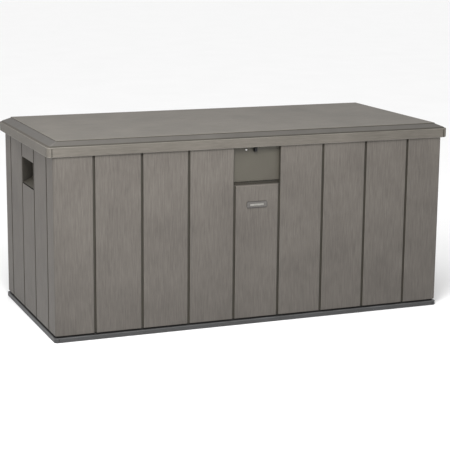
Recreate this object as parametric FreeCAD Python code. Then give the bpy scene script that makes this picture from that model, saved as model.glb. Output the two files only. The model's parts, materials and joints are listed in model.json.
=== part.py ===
import FreeCAD, Part
import math
import os

# Deck storage box: double-wall moulded panels round a moulded floor, and a lid on a full-length hinge rod.
# Millimetres. +X runs along the box, -Y is the front, +Z is up; the origin is at the bottom centre.

# Overall sizes
lid_length = 1530.0
lid_depth = 700.0
box_height = 698.0
side_overhang = 20.5          # lid past the wall at each end
front_overhang = 8.0
back_overhang = 5.0
overrun = 1.0                 # how far a cutter runs past what it cuts
same = 0.01                   # two places closer than this are one

# Moulded panels
wall = 22.0                   # thickness of a double-wall panel
skin = 1.8                    # plastic on each side of a panel's hollow
solid_foot = 30.0             # unhollowed edge that the floor screws bite in
solid_head = 12.0
body_corner_radius = 8.0
fit_gap = 0.4                 # between pieces that slot together
moving_gap = 1.5              # between the lid and what it swings past

# Planks moulded in the walls
front_planks = 9
end_plank = 142.4             # width of the first and last plank of the long walls
side_planks = 3
groove_width = 8.0
groove_depth = 7.0
corner_return = 85.0          # how far the long panels wrap round each end
lap = 26.0                    # overlap of an end panel behind a corner return
lap_lip = 6.6                 # thickness of the return's lip outside the lap

# Pull recess in the middle front plank
recess_height = 153.0         # from the short plank's top up to the top of the wall
recess_band = 12.0            # height of the deep slot under the recessed face
recess_depth = 15.0

# Handle pocket in each end
handle_drop = 76.0            # from the top of the wall
handle_height = 95.0
handle_depth = 38.0
handle_floor_rise = 18.0      # the pocket's floor climbs inward
handle_skin = 3.0
handle_round = 10.0
handle_slit = 3.0             # thin gap between the pocket and the plank below

# Floor panel
base_proud = 4.0
base_rim = 17.0
base_corner_radius = 12.0
base_edge_round = 2.5
shadow_gap = 7.0              # set-back neck between the rim and the walls
neck_inset = 9.0
plinth_height = 22.0          # raised deck inside the walls
floor_cells_x = 8
floor_cells_y = 4
cell_rib = 3.6                # where the two skins meet

# Short vertical lines moulded near the front corners of the rim, and on both faces of the lid's corners
corner_line_inset = 16.0
corner_line_width = 3.0
corner_line_depth = 1.5
corner_line_drop = 4.0        # below the lid skirt's top edge

# Lid
skirt_height = 34.0
lid_recess = 20.0             # underside above the skirt's lower edge
lid_corner_radius = 14.0
lid_edge_round = 2.5
bevel_rise = 16.0
crown_rise = 3.0
crown_inset_side = 38.5
crown_inset_front = 28.0
crown_corner_radius = 8.0
crown_edge_round = 1.5
lid_cells_x = 8
lid_cells_y = 3
wall_top_gap = 4.0            # wall tops below the lid's underside
hinge_step_gap = 4.0          # back wall's top step in front of the hinge bar

# Hinge
knuckle_radius = 13.0
knuckle_count = 4
knuckle_width = 60.0
knuckle_end_inset = 102.0     # outer knuckle's centre from the inside of the end wall
knuckle_side_gap = 2.0
hinge_rise = 15.0             # axis above the skirt's lower edge
rod_radius = 4.0
rod_fit_fixed = 0.03
rod_fit_turning = 0.06
rod_end_inset = 9.0
rod_cap_radius = 6.5

# Lid springs
spring_wire_radius = 1.4
spring_coil_radius = 11.3
spring_coil_length = 30.0
spring_end_gap = 3.0
spring_leg = 90.0
spring_slot_gap = 0.8
coil_play = 0.2               # the close coil as a tube, a little thicker than its wire
clip_width = 40.0
clip_height = 26.0
clip_thick = 2.0
clip_round = 3.0
clip_screw_offset = 12.8      # to each side of the leg
wall_clip_share = 0.6         # how far along its leg each clip sits
lid_clip_share = 0.75

# Lid channels, pressed from sheet steel
channel_width = 60.0
channel_flange = 13.0
channel_drop = 11.0
channel_thick = 1.5
channel_end_gap = 32.0        # from the inside of the end walls
channel_wall_gap = 14.0       # from the inside of the long walls
channel_slope = 2.75          # how far each side leans in
channel_screw_count = 5
channel_screw_end = 18.0      # from the channel's end
boss_radius = 9.0

# Lock: a lug on the box and a lug on the lid, side by side, with one padlock hole
lock_x = -7.5                 # middle of the fixed lug
lock_drop = 30.0              # padlock hole below the lid's underside
lock_plate = 4.0
lug_gap = 1.2
lug_height = 16.0
lug_reach = 14.0              # in front of the recessed face
lug_round = 4.0
padlock_hole_radius = 4.25
lock_bolt_offset = 29.5
lock_flange_height = 30.0
lock_flange_length = 46.0
lock_bolt_radius = 2.5
lock_head_radius = 4.4
lock_head_sink = 1.5          # centre of the dome's ball behind the face
lock_nut_radius = 4.6
lock_nut_height = 4.2
lock_bolt_end = 1.8           # bolt past its nut
tab_flange_length = 50.0
tab_screw_shares = (0.35, 0.75)

# Fasteners
screw_radius = 2.2
screw_head_radius = 4.2
screw_head_height = 2.4
screw_point = 4.4
screw_tip_radius = 0.55
screw_hole_gap = 0.1
lap_screw_cover = 3.0         # plastic left outside the lap screw's point
lap_screw_rows = 3
lap_screw_inset = 90.0        # from the wall's foot and top
floor_screw_length = 36.0
floor_screws_long = 5
floor_screws_short = 2
floor_screw_inset = 14.0      # from the wall's outer face
counterbore_radius = 6.0
counterbore_depth = 8.0
clip_screw_length = 14.0
lid_screw_length = 13.0

# Small parts
bumper_radius = 6.0
bumper_stem_radius = 2.5
bumper_stem_length = 6.0
bumper_gap = 0.3              # under the closed lid
bumper_round = 1.2
bumper_end_inset = 180.0
badge_length = 79.0
badge_height = 23.0
badge_thick = 2.4
badge_rim = 1.6
badge_rim_height = 0.8
badge_corner = 5.0
badge_drop = 70.0             # middle of the badge below the short plank's top

# Levels and faces that follow
ledge_z = box_height - crown_rise - bevel_rise
skirt_z = ledge_z - skirt_height
underside_z = skirt_z + lid_recess
wall_top = underside_z - wall_top_gap
wall_foot = base_rim + shadow_gap
recess_floor = wall_top - recess_height
handle_high = wall_top - handle_drop
handle_low = handle_high - handle_height
lock_z = underside_z - lock_drop
badge_z = recess_floor - badge_drop
floor_top = wall_foot + plinth_height
half_lid_x = lid_length / 2
half_lid_y = lid_depth / 2
half_body = half_lid_x - side_overhang
body_front = -half_lid_y + front_overhang
body_back = half_lid_y - back_overhang
body_mid_y = (body_front + body_back) / 2
in_x = half_body - wall
lap_screw_length = wall - lap_screw_cover
in_front = body_front + wall
in_back = body_back - wall
lap_front = body_front + corner_return
lap_back = body_back - corner_return
plank_pitch = (2 * half_body - 2 * end_plank) / (front_planks - 2)
side_pitch = (lap_back - lap_front - groove_width) / side_planks
half_recess = plank_pitch / 2 + groove_width / 2
half_handle = side_pitch / 2 - groove_width / 2
recess_face = body_front + recess_depth
hinge_y = half_lid_y - knuckle_radius
hinge_z = skirt_z + hinge_rise
back_top = hinge_z - knuckle_radius - 2 * moving_gap
back_step_y = hinge_y - knuckle_radius - hinge_step_gap
rod_half = half_lid_x - rod_end_inset
outer_knuckle = in_x - knuckle_end_inset
spring_bay = spring_coil_length + 2 * spring_end_gap
leg_front = hinge_y - spring_coil_radius - spring_wire_radius - spring_slot_gap
wall_clip_face = min(in_back, leg_front) - clip_thick
skirt_inner_y = body_front - moving_gap
skirt_inner_x = half_body + moving_gap
UP = FreeCAD.Vector(0, 0, 1)
ALONG = FreeCAD.Vector(1, 0, 0)
BACK = FreeCAD.Vector(0, 1, 0)


def box(x0, x1, y0, y1, z0, z1):
    return Part.makeBox(x1 - x0, y1 - y0, z1 - z0, FreeCAD.Vector(x0, y0, z0))


def rod(start, direction, length, radius):
    return Part.makeCylinder(radius, length, FreeCAD.Vector(*start), direction)


def rounded_wire(x0, x1, y0, y1, z, r):
    # Rectangle in a level plane with arcs of radius r at its corners
    k = r * (1 - math.sqrt(0.5))
    p = [(x0 + r, y0), (x1 - r, y0), (x1, y0 + r), (x1, y1 - r),
         (x1 - r, y1), (x0 + r, y1), (x0, y1 - r), (x0, y0 + r)]
    mids = [(x1 - k, y0 + k), (x1 - k, y1 - k), (x0 + k, y1 - k), (x0 + k, y0 + k)]
    points = [FreeCAD.Vector(x, y, z) for x, y in p]
    edges = []
    for i in range(4):
        a, b, c = points[2 * i], points[2 * i + 1], points[(2 * i + 2) % 8]
        middle = FreeCAD.Vector(mids[i][0], mids[i][1], z)
        edges.append(Part.LineSegment(a, b).toShape())
        edges.append(Part.Arc(b, middle, c).toShape())
    return Part.Wire(edges)


def prism(x0, x1, y0, y1, z0, z1, r):
    face = Part.Face(rounded_wire(x0, x1, y0, y1, z0, r))
    return face.extrude(FreeCAD.Vector(0, 0, z1 - z0))


def level_edges(shape, z):
    # Edges that lie wholly at height z
    return [e for e in shape.Edges if abs(e.BoundBox.ZMin - z) < same and abs(e.BoundBox.ZMax - z) < same]


def profile_x(points, x0, x1):
    # Closed outline of (y, z) points, drawn out along X
    wire = Part.makePolygon([FreeCAD.Vector(x0, y, z) for y, z in points + points[:1]])
    return Part.Face(wire).extrude(FreeCAD.Vector(x1 - x0, 0, 0))


def profile_y(points, y0, y1):
    # Closed outline of (x, z) points, drawn out along Y
    wire = Part.makePolygon([FreeCAD.Vector(x, y0, z) for x, z in points + points[:1]])
    return Part.Face(wire).extrude(FreeCAD.Vector(0, y1 - y0, 0))


def joined(shapes):
    return shapes[0].multiFuse(shapes[1:]).removeSplitter()


def less(shape, cutters):
    return shape.cut(Part.makeCompound(cutters)) if cutters else shape


def mirrored_x(shape):
    return shape.mirror(FreeCAD.Vector(0, 0, 0), ALONG)


def screw(seat, direction, length):
    # Pan-head screw: seat is the point under the head, direction points into the plastic
    head = rod(seat, direction * -1, screw_head_height, screw_head_radius)
    shank = rod(seat, direction, length - screw_point, screw_radius)
    start = FreeCAD.Vector(*seat) + direction * (length - screw_point)
    tip = Part.makeCone(screw_radius, screw_tip_radius, screw_point, start, direction)
    return joined([head, shank, tip])


def screws(seats, direction, length):
    return Part.makeCompound([screw(seat, direction, length) for seat in seats])


def screw_hole(seat, direction, length):
    return rod(seat, direction, length + screw_hole_gap, screw_radius + screw_hole_gap)


def spread(count, half):
    # Evenly spaced places from -half to half
    return [-half + 2 * half * i / (count - 1) for i in range(count)]


def save(node, shape):
    solids = shape.Solids
    out = solids[0] if len(solids) == 1 else Part.makeCompound(solids)
    if not out.isValid():
        print("not valid:", node)
    out.exportStep("parts/" + node + ".step")
    print("%-22s %2d solids %10.0f mm3" % (node, len(solids), sum(s.Volume for s in solids)))


# Places of the repeated features

def groove_places():
    return [(k - (front_planks - 2) / 2) * plank_pitch for k in range(front_planks - 1)]


def side_groove_places():
    return [body_mid_y + (k - (side_planks - 2) / 2) * side_pitch for k in range(side_planks - 1)]


def knuckle_places():
    return spread(knuckle_count, outer_knuckle)


def spring_centre():
    # Coil centre on the right-hand side, inboard of the outer knuckle
    return outer_knuckle - knuckle_width / 2 - knuckle_side_gap - spring_bay / 2


def lid_leg_x():
    return spring_centre() - spring_coil_length / 2 + spring_wire_radius


def body_leg_x():
    return spring_centre() + spring_coil_length / 2 - spring_wire_radius


def lower_leg_start():
    return body_leg_x(), hinge_y - spring_coil_radius, hinge_z


def floor_screw_places():
    long_half = half_body - corner_return
    short_half = side_pitch / 2
    front_y = body_front + floor_screw_inset
    back_y = body_back - floor_screw_inset
    end_x = half_body - floor_screw_inset
    places = [(x, y) for x in spread(floor_screws_long, long_half) for y in (front_y, back_y)]
    ends = [body_mid_y + y for y in spread(floor_screws_short, short_half)]
    return places + [(x, y) for y in ends for x in (-end_x, end_x)]


def lap_screw_seats():
    # (x, y, z, direction) on the inner face of each lap
    low = wall_foot + lap_screw_inset
    high = wall_top - lap_screw_inset
    rows = [low + (high - low) * i / (lap_screw_rows - 1) for i in range(lap_screw_rows)]
    seats = []
    for y in (lap_front - lap / 2, lap_back + lap / 2):
        for z in rows:
            seats.append(((in_x, y, z), ALONG))
            seats.append(((-in_x, y, z), ALONG * -1))
    return seats


def clip_screw_seats():
    # On the wall clips' faces, beside each spring's lower leg
    z = back_top - spring_leg * wall_clip_share
    seats = []
    for side in (-1, 1):
        for dx in (-1, 1):
            x = side * body_leg_x() + dx * clip_screw_offset
            seats.append((x, wall_clip_face, z))
    return seats


def lid_clip_y():
    return hinge_y - spring_leg * lid_clip_share


def lid_clip_screw_seats():
    seats = []
    for side in (-1, 1):
        for dx in (-1, 1):
            x = side * lid_leg_x() + dx * clip_screw_offset
            seats.append((x, lid_clip_y(), underside_z - clip_thick))
    return seats


def channel_bands():
    # Front and rear channel as (y0, y1)
    front = in_front + channel_wall_gap
    rear = in_back - channel_wall_gap - spring_leg
    return [(front, front + channel_width), (rear - channel_width, rear)]


def channel_screw_seats(band):
    half = in_x - channel_end_gap - channel_screw_end
    rows = (band[0] + channel_flange / 2, band[1] - channel_flange / 2)
    return [(x, y, underside_z - channel_thick) for x in spread(channel_screw_count, half) for y in rows]


def tab_screw_seats():
    y = recess_face - (lug_reach + moving_gap) / 2
    x0 = lock_x + lock_plate + lug_gap
    return [(x0 + tab_flange_length * share, y, underside_z - lock_plate) for share in tab_screw_shares]


def bumper_places():
    x = half_body - bumper_end_inset
    return [(-x, body_front + wall / 2), (x, body_front + wall / 2),
            (-half_body + wall / 2, body_mid_y), (half_body - wall / 2, body_mid_y)]


# Body panels

def floor_panel():
    rim = prism(-half_body - base_proud, half_body + base_proud, body_front - base_proud,
                body_back + base_proud, 0, base_rim, base_corner_radius)
    rim = rim.makeFillet(base_edge_round, level_edges(rim, 0) + level_edges(rim, base_rim))
    neck = box(-half_body + neck_inset, half_body - neck_inset, body_front + neck_inset,
               body_back - neck_inset, base_rim, wall_foot)
    plinth = box(-in_x + fit_gap, in_x - fit_gap, in_front + fit_gap, in_back - fit_gap, wall_foot, floor_top)
    cutters = grid_cells(-in_x, in_x, in_front, in_back, skin, floor_top - skin, floor_cells_x, floor_cells_y)
    for x, y in floor_screw_places():
        cutters.append(rod((x, y, 0), UP, counterbore_depth, counterbore_radius))
        cutters.append(screw_hole((x, y, counterbore_depth), UP, floor_screw_length))
    front = body_front - base_proud
    for side in (-1, 1):
        x = side * (half_body + base_proud - corner_line_inset)
        cutters.append(box(x - corner_line_width / 2, x + corner_line_width / 2, front - overrun,
                           front + corner_line_depth, -overrun, base_rim + overrun))
    return less(joined([rim, neck, plinth]), cutters)


def grid_cells(x0, x1, y0, y1, z0, z1, count_x, count_y):
    # Hollow cells of a double-wall panel, with ribs where its two skins meet
    step_x = (x1 - x0) / count_x
    step_y = (y1 - y0) / count_y
    half_rib = cell_rib / 2
    cells = []
    for i in range(count_x):
        for j in range(count_y):
            cells.append(box(x0 + i * step_x + half_rib, x0 + (i + 1) * step_x - half_rib,
                             y0 + j * step_y + half_rib, y0 + (j + 1) * step_y - half_rib, z0, z1))
    return cells


def long_panel_blank(front):
    # U-shaped in plan: a long wall with a return round each corner
    outer = prism(-half_body, half_body, body_front, body_back, wall_foot, wall_top, body_corner_radius)
    hollow = box(-in_x, in_x, in_front, in_back, wall_foot, wall_top)
    shell = outer.cut(hollow)
    if front:
        keep = box(-half_body, half_body, body_front, lap_front, wall_foot, wall_top)
        rebate = (lap_front - lap, lap_front)
    else:
        keep = box(-half_body, half_body, lap_back, body_back, wall_foot, wall_top)
        rebate = (lap_back, lap_back + lap)
    inner_lap = half_body - lap_lip
    cut = box(-inner_lap, inner_lap, rebate[0], rebate[1], wall_foot, wall_top)
    return shell.common(keep).cut(cut)


def long_panel_grooves(front):
    y0 = body_front if front else body_back - groove_depth
    return [box(x - groove_width / 2, x + groove_width / 2, y0, y0 + groove_depth, wall_foot, wall_top)
            for x in groove_places()]


def long_panel_cells(front, top, middle_top):
    # One hollow per plank and one per return; the middle plank's hollow may stop lower
    edges = [-half_body + wall - groove_width / 2] + groove_places() + [half_body - wall + groove_width / 2]
    margin = groove_width / 2 + skin
    face = body_front if front else in_back
    cells = []
    for k in range(front_planks):
        high = middle_top if k == front_planks // 2 else top
        cells.append(box(edges[k] + margin, edges[k + 1] - margin, face + skin, face + wall - skin,
                         wall_foot + solid_foot, high))
    y0, y1 = (in_front, lap_front - lap - skin) if front else (lap_back + lap + skin, back_step_y - skin)
    for side in (-1, 1):
        x0, x1 = sorted((side * (in_x + skin), side * (half_body - skin)))
        cells.append(box(x0, x1, y0, y1, wall_foot + solid_foot, top))
    return cells


def wall_fastener_holes():
    holes = [screw_hole((x, y, counterbore_depth), UP, floor_screw_length) for x, y in floor_screw_places()]
    holes += [screw_hole(seat, way, lap_screw_length) for seat, way in lap_screw_seats()]
    for x, y in bumper_places():
        start = (x, y, wall_top - bumper_stem_length - fit_gap)
        holes.append(rod(start, UP, bumper_stem_length + fit_gap, bumper_stem_radius))
    return holes


def lock_slot():
    return box(lock_x - lock_plate / 2 - fit_gap, lock_x + lock_plate / 2 + fit_gap, recess_face, in_front,
               lock_z - lug_height / 2 - fit_gap, lock_z + lug_height / 2 + fit_gap)


def front_panel():
    panel = long_panel_blank(True)
    cutters = long_panel_grooves(True) + wall_fastener_holes()
    cutters += long_panel_cells(True, wall_top - solid_head, recess_floor - skin)
    cutters.append(box(-half_recess, half_recess, body_front, recess_face, recess_floor, wall_top))
    cutters.append(box(-half_recess, half_recess, body_front, in_front - skin, recess_floor,
                       recess_floor + recess_band))
    cutters.append(lock_slot())
    cutters.append(rod((lock_x - lock_bolt_offset, recess_face, lock_z), BACK, wall,
                       lock_bolt_radius + screw_hole_gap))
    return less(panel, cutters)


def spring_wall_slots():
    # Grooves in the back wall's inner face for the springs' lower legs
    depth = hinge_y - spring_coil_radius + spring_wire_radius + spring_slot_gap
    half = spring_wire_radius + spring_slot_gap
    slots = []
    for side in (-1, 1):
        x = side * body_leg_x()
        slots.append(box(x - half, x + half, in_back, depth, back_top - spring_leg, back_top))
    return slots


def back_panel():
    panel = long_panel_blank(False)
    panel = panel.cut(box(-half_body, half_body, back_step_y, body_back, back_top, wall_top))
    hollow_top = back_top - solid_head
    cells = Part.makeCompound(long_panel_cells(False, hollow_top, hollow_top))
    pads = [box(x - clip_width / 2, x + clip_width / 2, in_back, body_back, back_top - spring_leg - skin,
                back_top) for x in (-body_leg_x(), body_leg_x())]
    panel = panel.cut(less(cells, pads))
    knuckles = []
    for x in knuckle_places():
        x0 = x - knuckle_width / 2
        knuckles.append(rod((x0, hinge_y, hinge_z), ALONG, knuckle_width, knuckle_radius))
        knuckles.append(box(x0, x0 + knuckle_width, hinge_y - knuckle_radius, hinge_y,
                            back_top - solid_head, hinge_z))
    panel = joined([panel] + knuckles)
    cutters = long_panel_grooves(False) + wall_fastener_holes() + spring_wall_slots()
    cutters.append(rod((-rod_half, hinge_y, hinge_z), ALONG, 2 * rod_half, rod_radius + rod_fit_fixed))
    cutters += [screw_hole(seat, BACK, clip_screw_length) for seat in clip_screw_seats()]
    return less(panel, cutters)


def handle_outline(grow):
    # Pocket's section as (x, z), seen from the front on the right-hand end
    deep = half_body - handle_depth - grow
    return [(half_body, handle_high + grow), (deep, handle_high + grow),
            (deep, handle_low + handle_floor_rise - grow), (half_body, handle_low - grow)]


def handle_pocket():
    pocket = profile_y(handle_outline(0), body_mid_y - half_handle, body_mid_y + half_handle)
    deep = half_body - handle_depth
    back_edges = [e for e in pocket.Edges if abs(e.BoundBox.XMax - deep) < same]
    pocket = pocket.makeFillet(handle_round, back_edges)
    slit = box(half_body - groove_depth, half_body, body_mid_y - half_handle, body_mid_y + half_handle,
               handle_low - handle_slit, handle_low)
    return joined([pocket, slit])


def side_panel():
    # Right-hand end; the other end is its mirror image
    half = side_planks * side_pitch / 2 - groove_width / 2
    body = box(in_x, half_body, body_mid_y - half, body_mid_y + half, wall_foot, wall_top)
    tongue = box(in_x, half_body - lap_lip - fit_gap, lap_front - lap + fit_gap, lap_back + lap - fit_gap,
                 wall_foot, wall_top)
    grow_y = half_handle + handle_skin
    housing = profile_y(handle_outline(handle_skin), body_mid_y - grow_y, body_mid_y + grow_y)
    cells = []
    end = half + groove_width / 2
    edges = [body_mid_y - end] + side_groove_places() + [body_mid_y + end]
    margin = groove_width / 2 + skin
    for k in range(side_planks):
        cells.append(box(in_x + skin, half_body - skin, edges[k] + margin, edges[k + 1] - margin,
                         wall_foot + solid_foot, wall_top - solid_head))
    panel = joined([less(joined([body, tongue]), cells), housing])
    cutters = wall_fastener_holes() + [handle_pocket()]
    for y in side_groove_places():
        cutters.append(box(half_body - groove_depth, half_body, y - groove_width / 2, y + groove_width / 2,
                           wall_foot, wall_top))
    return less(panel, cutters)


# Lid

def lid_outer():
    slab = prism(-half_lid_x, half_lid_x, -half_lid_y, half_lid_y, skirt_z, ledge_z, lid_corner_radius)
    slab = slab.makeFillet(lid_edge_round, level_edges(slab, skirt_z))
    low = rounded_wire(-half_lid_x, half_lid_x, -half_lid_y, half_lid_y, ledge_z, lid_corner_radius)
    cx = half_lid_x - crown_inset_side
    cy = half_lid_y - crown_inset_front
    high = rounded_wire(-cx, cx, -cy, cy, ledge_z + bevel_rise, crown_corner_radius)
    bevel = Part.makeLoft([low, high], True, True)
    crown = prism(-cx, cx, -cy, cy, ledge_z + bevel_rise, box_height, crown_corner_radius)
    crown = crown.makeFillet(crown_edge_round, level_edges(crown, box_height))
    return joined([slab, bevel, crown])


def hinge_notches():
    # Room for the box's knuckles and for the springs beside the outer two
    radius = knuckle_radius + moving_gap
    notches = []
    for x in knuckle_places():
        x0 = x - knuckle_width / 2 - knuckle_side_gap
        x1 = x + knuckle_width / 2 + knuckle_side_gap
        if abs(abs(x) - outer_knuckle) < same:
            x0 -= spring_bay if x > 0 else 0
            x1 += spring_bay if x < 0 else 0
        notches.append(rod((x0, hinge_y, hinge_z), ALONG, x1 - x0, radius))
        notches.append(box(x0, x1, hinge_y - radius, half_lid_y, skirt_z - knuckle_radius, hinge_z))
    return notches


def spring_lid_slots():
    half = spring_wire_radius + spring_slot_gap
    top = hinge_z + spring_coil_radius + half
    slots = []
    for side in (-1, 1):
        x = side * lid_leg_x()
        slots.append(box(x - half, x + half, hinge_y - spring_leg - spring_slot_gap, hinge_y, underside_z, top))
    return slots


def lid_screws():
    seats = tab_screw_seats() + lid_clip_screw_seats()
    for band in channel_bands():
        seats += channel_screw_seats(band)
    return seats


def lid_moulding():
    lid = lid_outer()
    bar_low = box(-skirt_inner_x, skirt_inner_x, hinge_y - knuckle_radius, half_lid_y, skirt_z, hinge_z)
    cavity = box(-skirt_inner_x, skirt_inner_x, skirt_inner_y, hinge_y - knuckle_radius, skirt_z, underside_z)
    lid = less(lid, [bar_low, cavity])
    bar = rod((-skirt_inner_x, hinge_y, hinge_z), ALONG, 2 * skirt_inner_x, knuckle_radius)
    cx = half_lid_x - crown_inset_side
    cy = half_lid_y - crown_inset_front
    cells = Part.makeCompound(grid_cells(-cx, cx, -cy, cy - 2 * skin, underside_z + skin, box_height - skin,
                                         lid_cells_x, lid_cells_y))
    bosses = [rod((x, y, underside_z), UP, box_height - underside_z, boss_radius) for x, y, z in lid_screws()]
    pads = [box(x - boss_radius, x + boss_radius, hinge_y - spring_leg - boss_radius, half_lid_y, underside_z,
                box_height) for x in (-lid_leg_x(), lid_leg_x())]
    lid = joined([lid, bar]).cut(less(cells, bosses + pads))
    cutters = hinge_notches() + spring_lid_slots()
    cutters += [screw_hole(seat, UP, lid_screw_length) for seat in lid_screws()]
    cutters.append(rod((-rod_half - fit_gap, hinge_y, hinge_z), ALONG, 2 * (rod_half + fit_gap),
                       rod_radius + rod_fit_turning))
    for side in (-1, 1):
        start = (side * (rod_half + fit_gap), hinge_y, hinge_z)
        cutters.append(rod(start, ALONG * side, rod_end_inset, rod_cap_radius))
        x = side * (half_lid_x - corner_line_inset)
        cutters.append(box(x - corner_line_width / 2, x + corner_line_width / 2, -half_lid_y - overrun,
                           -half_lid_y + corner_line_depth, skirt_z - overrun, ledge_z - corner_line_drop))
        x0, x1 = sorted((side * (half_lid_x + overrun), side * (half_lid_x - corner_line_depth)))
        y = -half_lid_y + corner_line_inset
        cutters.append(box(x0, x1, y - corner_line_width / 2, y + corner_line_width / 2, skirt_z - overrun,
                           ledge_z - corner_line_drop))
    return less(lid, cutters)


def lid_split():
    # The lid is one moulding, kept as two nodes that meet at its underside: panel above, skirt and bar below
    whole = lid_moulding()
    above = box(-half_lid_x, half_lid_x, -half_lid_y, half_lid_y, underside_z, box_height)
    lowest = min(skirt_z, hinge_z - knuckle_radius)
    below = box(-half_lid_x, half_lid_x, -half_lid_y, half_lid_y, lowest, underside_z)
    return whole.common(above), whole.common(below)


def hat_channel(band):
    # Flanges flat on the lid's underside, web hanging below
    y0, y1 = band
    a = y0 + channel_flange
    b = y1 - channel_flange
    low = underside_z - channel_drop
    t = channel_thick
    slope = channel_slope
    outline = [(y0, underside_z), (y0, underside_z - t), (a, underside_z - t), (a + slope, low),
               (b - slope, low), (b, underside_z - t), (y1, underside_z - t), (y1, underside_z),
               (b - t, underside_z), (b - slope - t, low + t), (a + slope + t, low + t), (a + t, underside_z)]
    half = in_x - channel_end_gap
    holes = [screw_hole(seat, UP, lid_screw_length) for seat in channel_screw_seats(band)]
    return less(profile_x(outline, -half, half), holes)


# Hinge and spring hardware

def lid_spring():
    # Right-hand spring: a close coil round the rod, a leg down the wall and a leg under the lid
    x0 = spring_centre() - spring_coil_length / 2
    half_thick = spring_wire_radius + coil_play
    outer = rod((x0, hinge_y, hinge_z), ALONG, spring_coil_length, spring_coil_radius + half_thick)
    inner = rod((x0, hinge_y, hinge_z), ALONG, spring_coil_length, spring_coil_radius - half_thick)
    down = rod(lower_leg_start(), UP * -1, spring_leg, spring_wire_radius)
    reach = hinge_y - lid_clip_y() + clip_height / 2
    fall = hinge_z + spring_coil_radius - underside_z - spring_wire_radius - fit_gap
    way = FreeCAD.Vector(0, -reach, -fall)
    length = way.Length
    forward = rod((lid_leg_x(), hinge_y, hinge_z + spring_coil_radius), way, length, spring_wire_radius)
    return Part.makeCompound([outer.cut(inner), down.cut(outer), forward.cut(outer)])


def clip(centre, outward, thick, holes):
    # Screwed plate that holds a spring leg; outward points from the plate into the plastic
    flat = prism(-clip_width / 2, clip_width / 2, -clip_height / 2, clip_height / 2, -thick, 0, clip_round)
    if outward == BACK:
        flat.rotate(FreeCAD.Vector(0, 0, 0), ALONG, -90)
    flat.translate(FreeCAD.Vector(*centre))
    return less(flat, holes)


def wall_clip():
    seats = clip_screw_seats()
    holes = [screw_hole(seat, BACK, clip_screw_length) for seat in seats]
    leg = rod(lower_leg_start(), UP * -1, spring_leg, spring_wire_radius + spring_slot_gap)
    return clip((body_leg_x(), in_back, seats[0][2]), BACK, in_back - wall_clip_face, holes + [leg])


def lid_clip():
    holes = [screw_hole(seat, UP, lid_screw_length) for seat in lid_clip_screw_seats()]
    return clip((lid_leg_x(), lid_clip_y(), underside_z), UP, clip_thick, holes)


def rod_caps():
    outer = lid_outer()
    caps = []
    for side in (-1, 1):
        start = (side * (rod_half + fit_gap), hinge_y, hinge_z)
        caps.append(rod(start, ALONG * side, rod_end_inset, rod_cap_radius).common(outer))
    return Part.makeCompound(caps)


# Lock

def lug(x_mid, y_back, z_top):
    # Upright plate with a padlock hole along X
    front = recess_face - lug_reach
    plate = box(x_mid - lock_plate / 2, x_mid + lock_plate / 2, front, y_back, lock_z - lug_height / 2, z_top)
    corners = [e for e in plate.Edges if e.BoundBox.YMax < front + same and e.BoundBox.XLength > same]
    if z_top > lock_z + lug_height / 2:
        corners = [e for e in corners if e.BoundBox.ZMax < lock_z]
    plate = plate.makeFillet(lug_round, corners)
    hole = rod((x_mid - lock_plate, recess_face - lug_reach / 2, lock_z), ALONG, 2 * lock_plate,
               padlock_hole_radius)
    return plate.cut(hole)


def lock_eye():
    flange = box(lock_x + lock_plate / 2 - lock_flange_length, lock_x + lock_plate / 2, in_front,
                 in_front + lock_plate, lock_z - lock_flange_height / 2, lock_z + lock_flange_height / 2)
    plate = joined([lug(lock_x, in_front + lock_plate, lock_z + lug_height / 2), flange])
    hole_radius = lock_bolt_radius + screw_hole_gap
    return plate.cut(rod((lock_x - lock_bolt_offset, in_front, lock_z), BACK, lock_plate, hole_radius))


def lock_tab():
    x_mid = lock_x + lock_plate + lug_gap
    back = recess_face - moving_gap
    upright = lug(x_mid, back, underside_z)
    flange = box(x_mid - lock_plate / 2, x_mid - lock_plate / 2 + tab_flange_length,
                 recess_face - lug_reach, back, underside_z - lock_plate, underside_z)
    holes = [screw_hole(seat, UP, lid_screw_length) for seat in tab_screw_seats()]
    return less(joined([upright, flange]), holes)


def lock_bolt():
    # Domed head on the recessed face, shank through the panel and the eye's flange
    x = lock_x - lock_bolt_offset
    dome = Part.makeSphere(lock_head_radius, FreeCAD.Vector(x, recess_face + lock_head_sink, lock_z))
    dome = dome.common(box(x - wall, x + wall, recess_face - wall, recess_face, lock_z - wall, lock_z + wall))
    length = in_front - recess_face + lock_plate + lock_nut_height + lock_bolt_end
    return joined([dome, rod((x, recess_face, lock_z), BACK, length, lock_bolt_radius)])


def lock_nut():
    x = lock_x - lock_bolt_offset
    y = in_front + lock_plate
    corners = []
    for i in range(7):
        across = lock_nut_radius * math.cos(math.radians(60 * i))
        up = lock_nut_radius * math.sin(math.radians(60 * i))
        corners.append(FreeCAD.Vector(x + across, y, lock_z + up))
    nut = Part.Face(Part.makePolygon(corners)).extrude(BACK * lock_nut_height)
    return nut.cut(rod((x, y, lock_z), BACK, lock_nut_height, lock_bolt_radius + screw_hole_gap))


# Trim

def blank_badge():
    plate = prism(-badge_length / 2, badge_length / 2, -badge_height / 2, badge_height / 2, 0, badge_thick,
                  badge_corner)
    inner = prism(-badge_length / 2 + badge_rim, badge_length / 2 - badge_rim, -badge_height / 2 + badge_rim,
                  badge_height / 2 - badge_rim, badge_thick - badge_rim_height, badge_thick,
                  badge_corner - badge_rim)
    plate = plate.cut(inner)
    plate.rotate(FreeCAD.Vector(0, 0, 0), ALONG, 90)
    plate.translate(FreeCAD.Vector(0, body_front, badge_z))
    return plate


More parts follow.
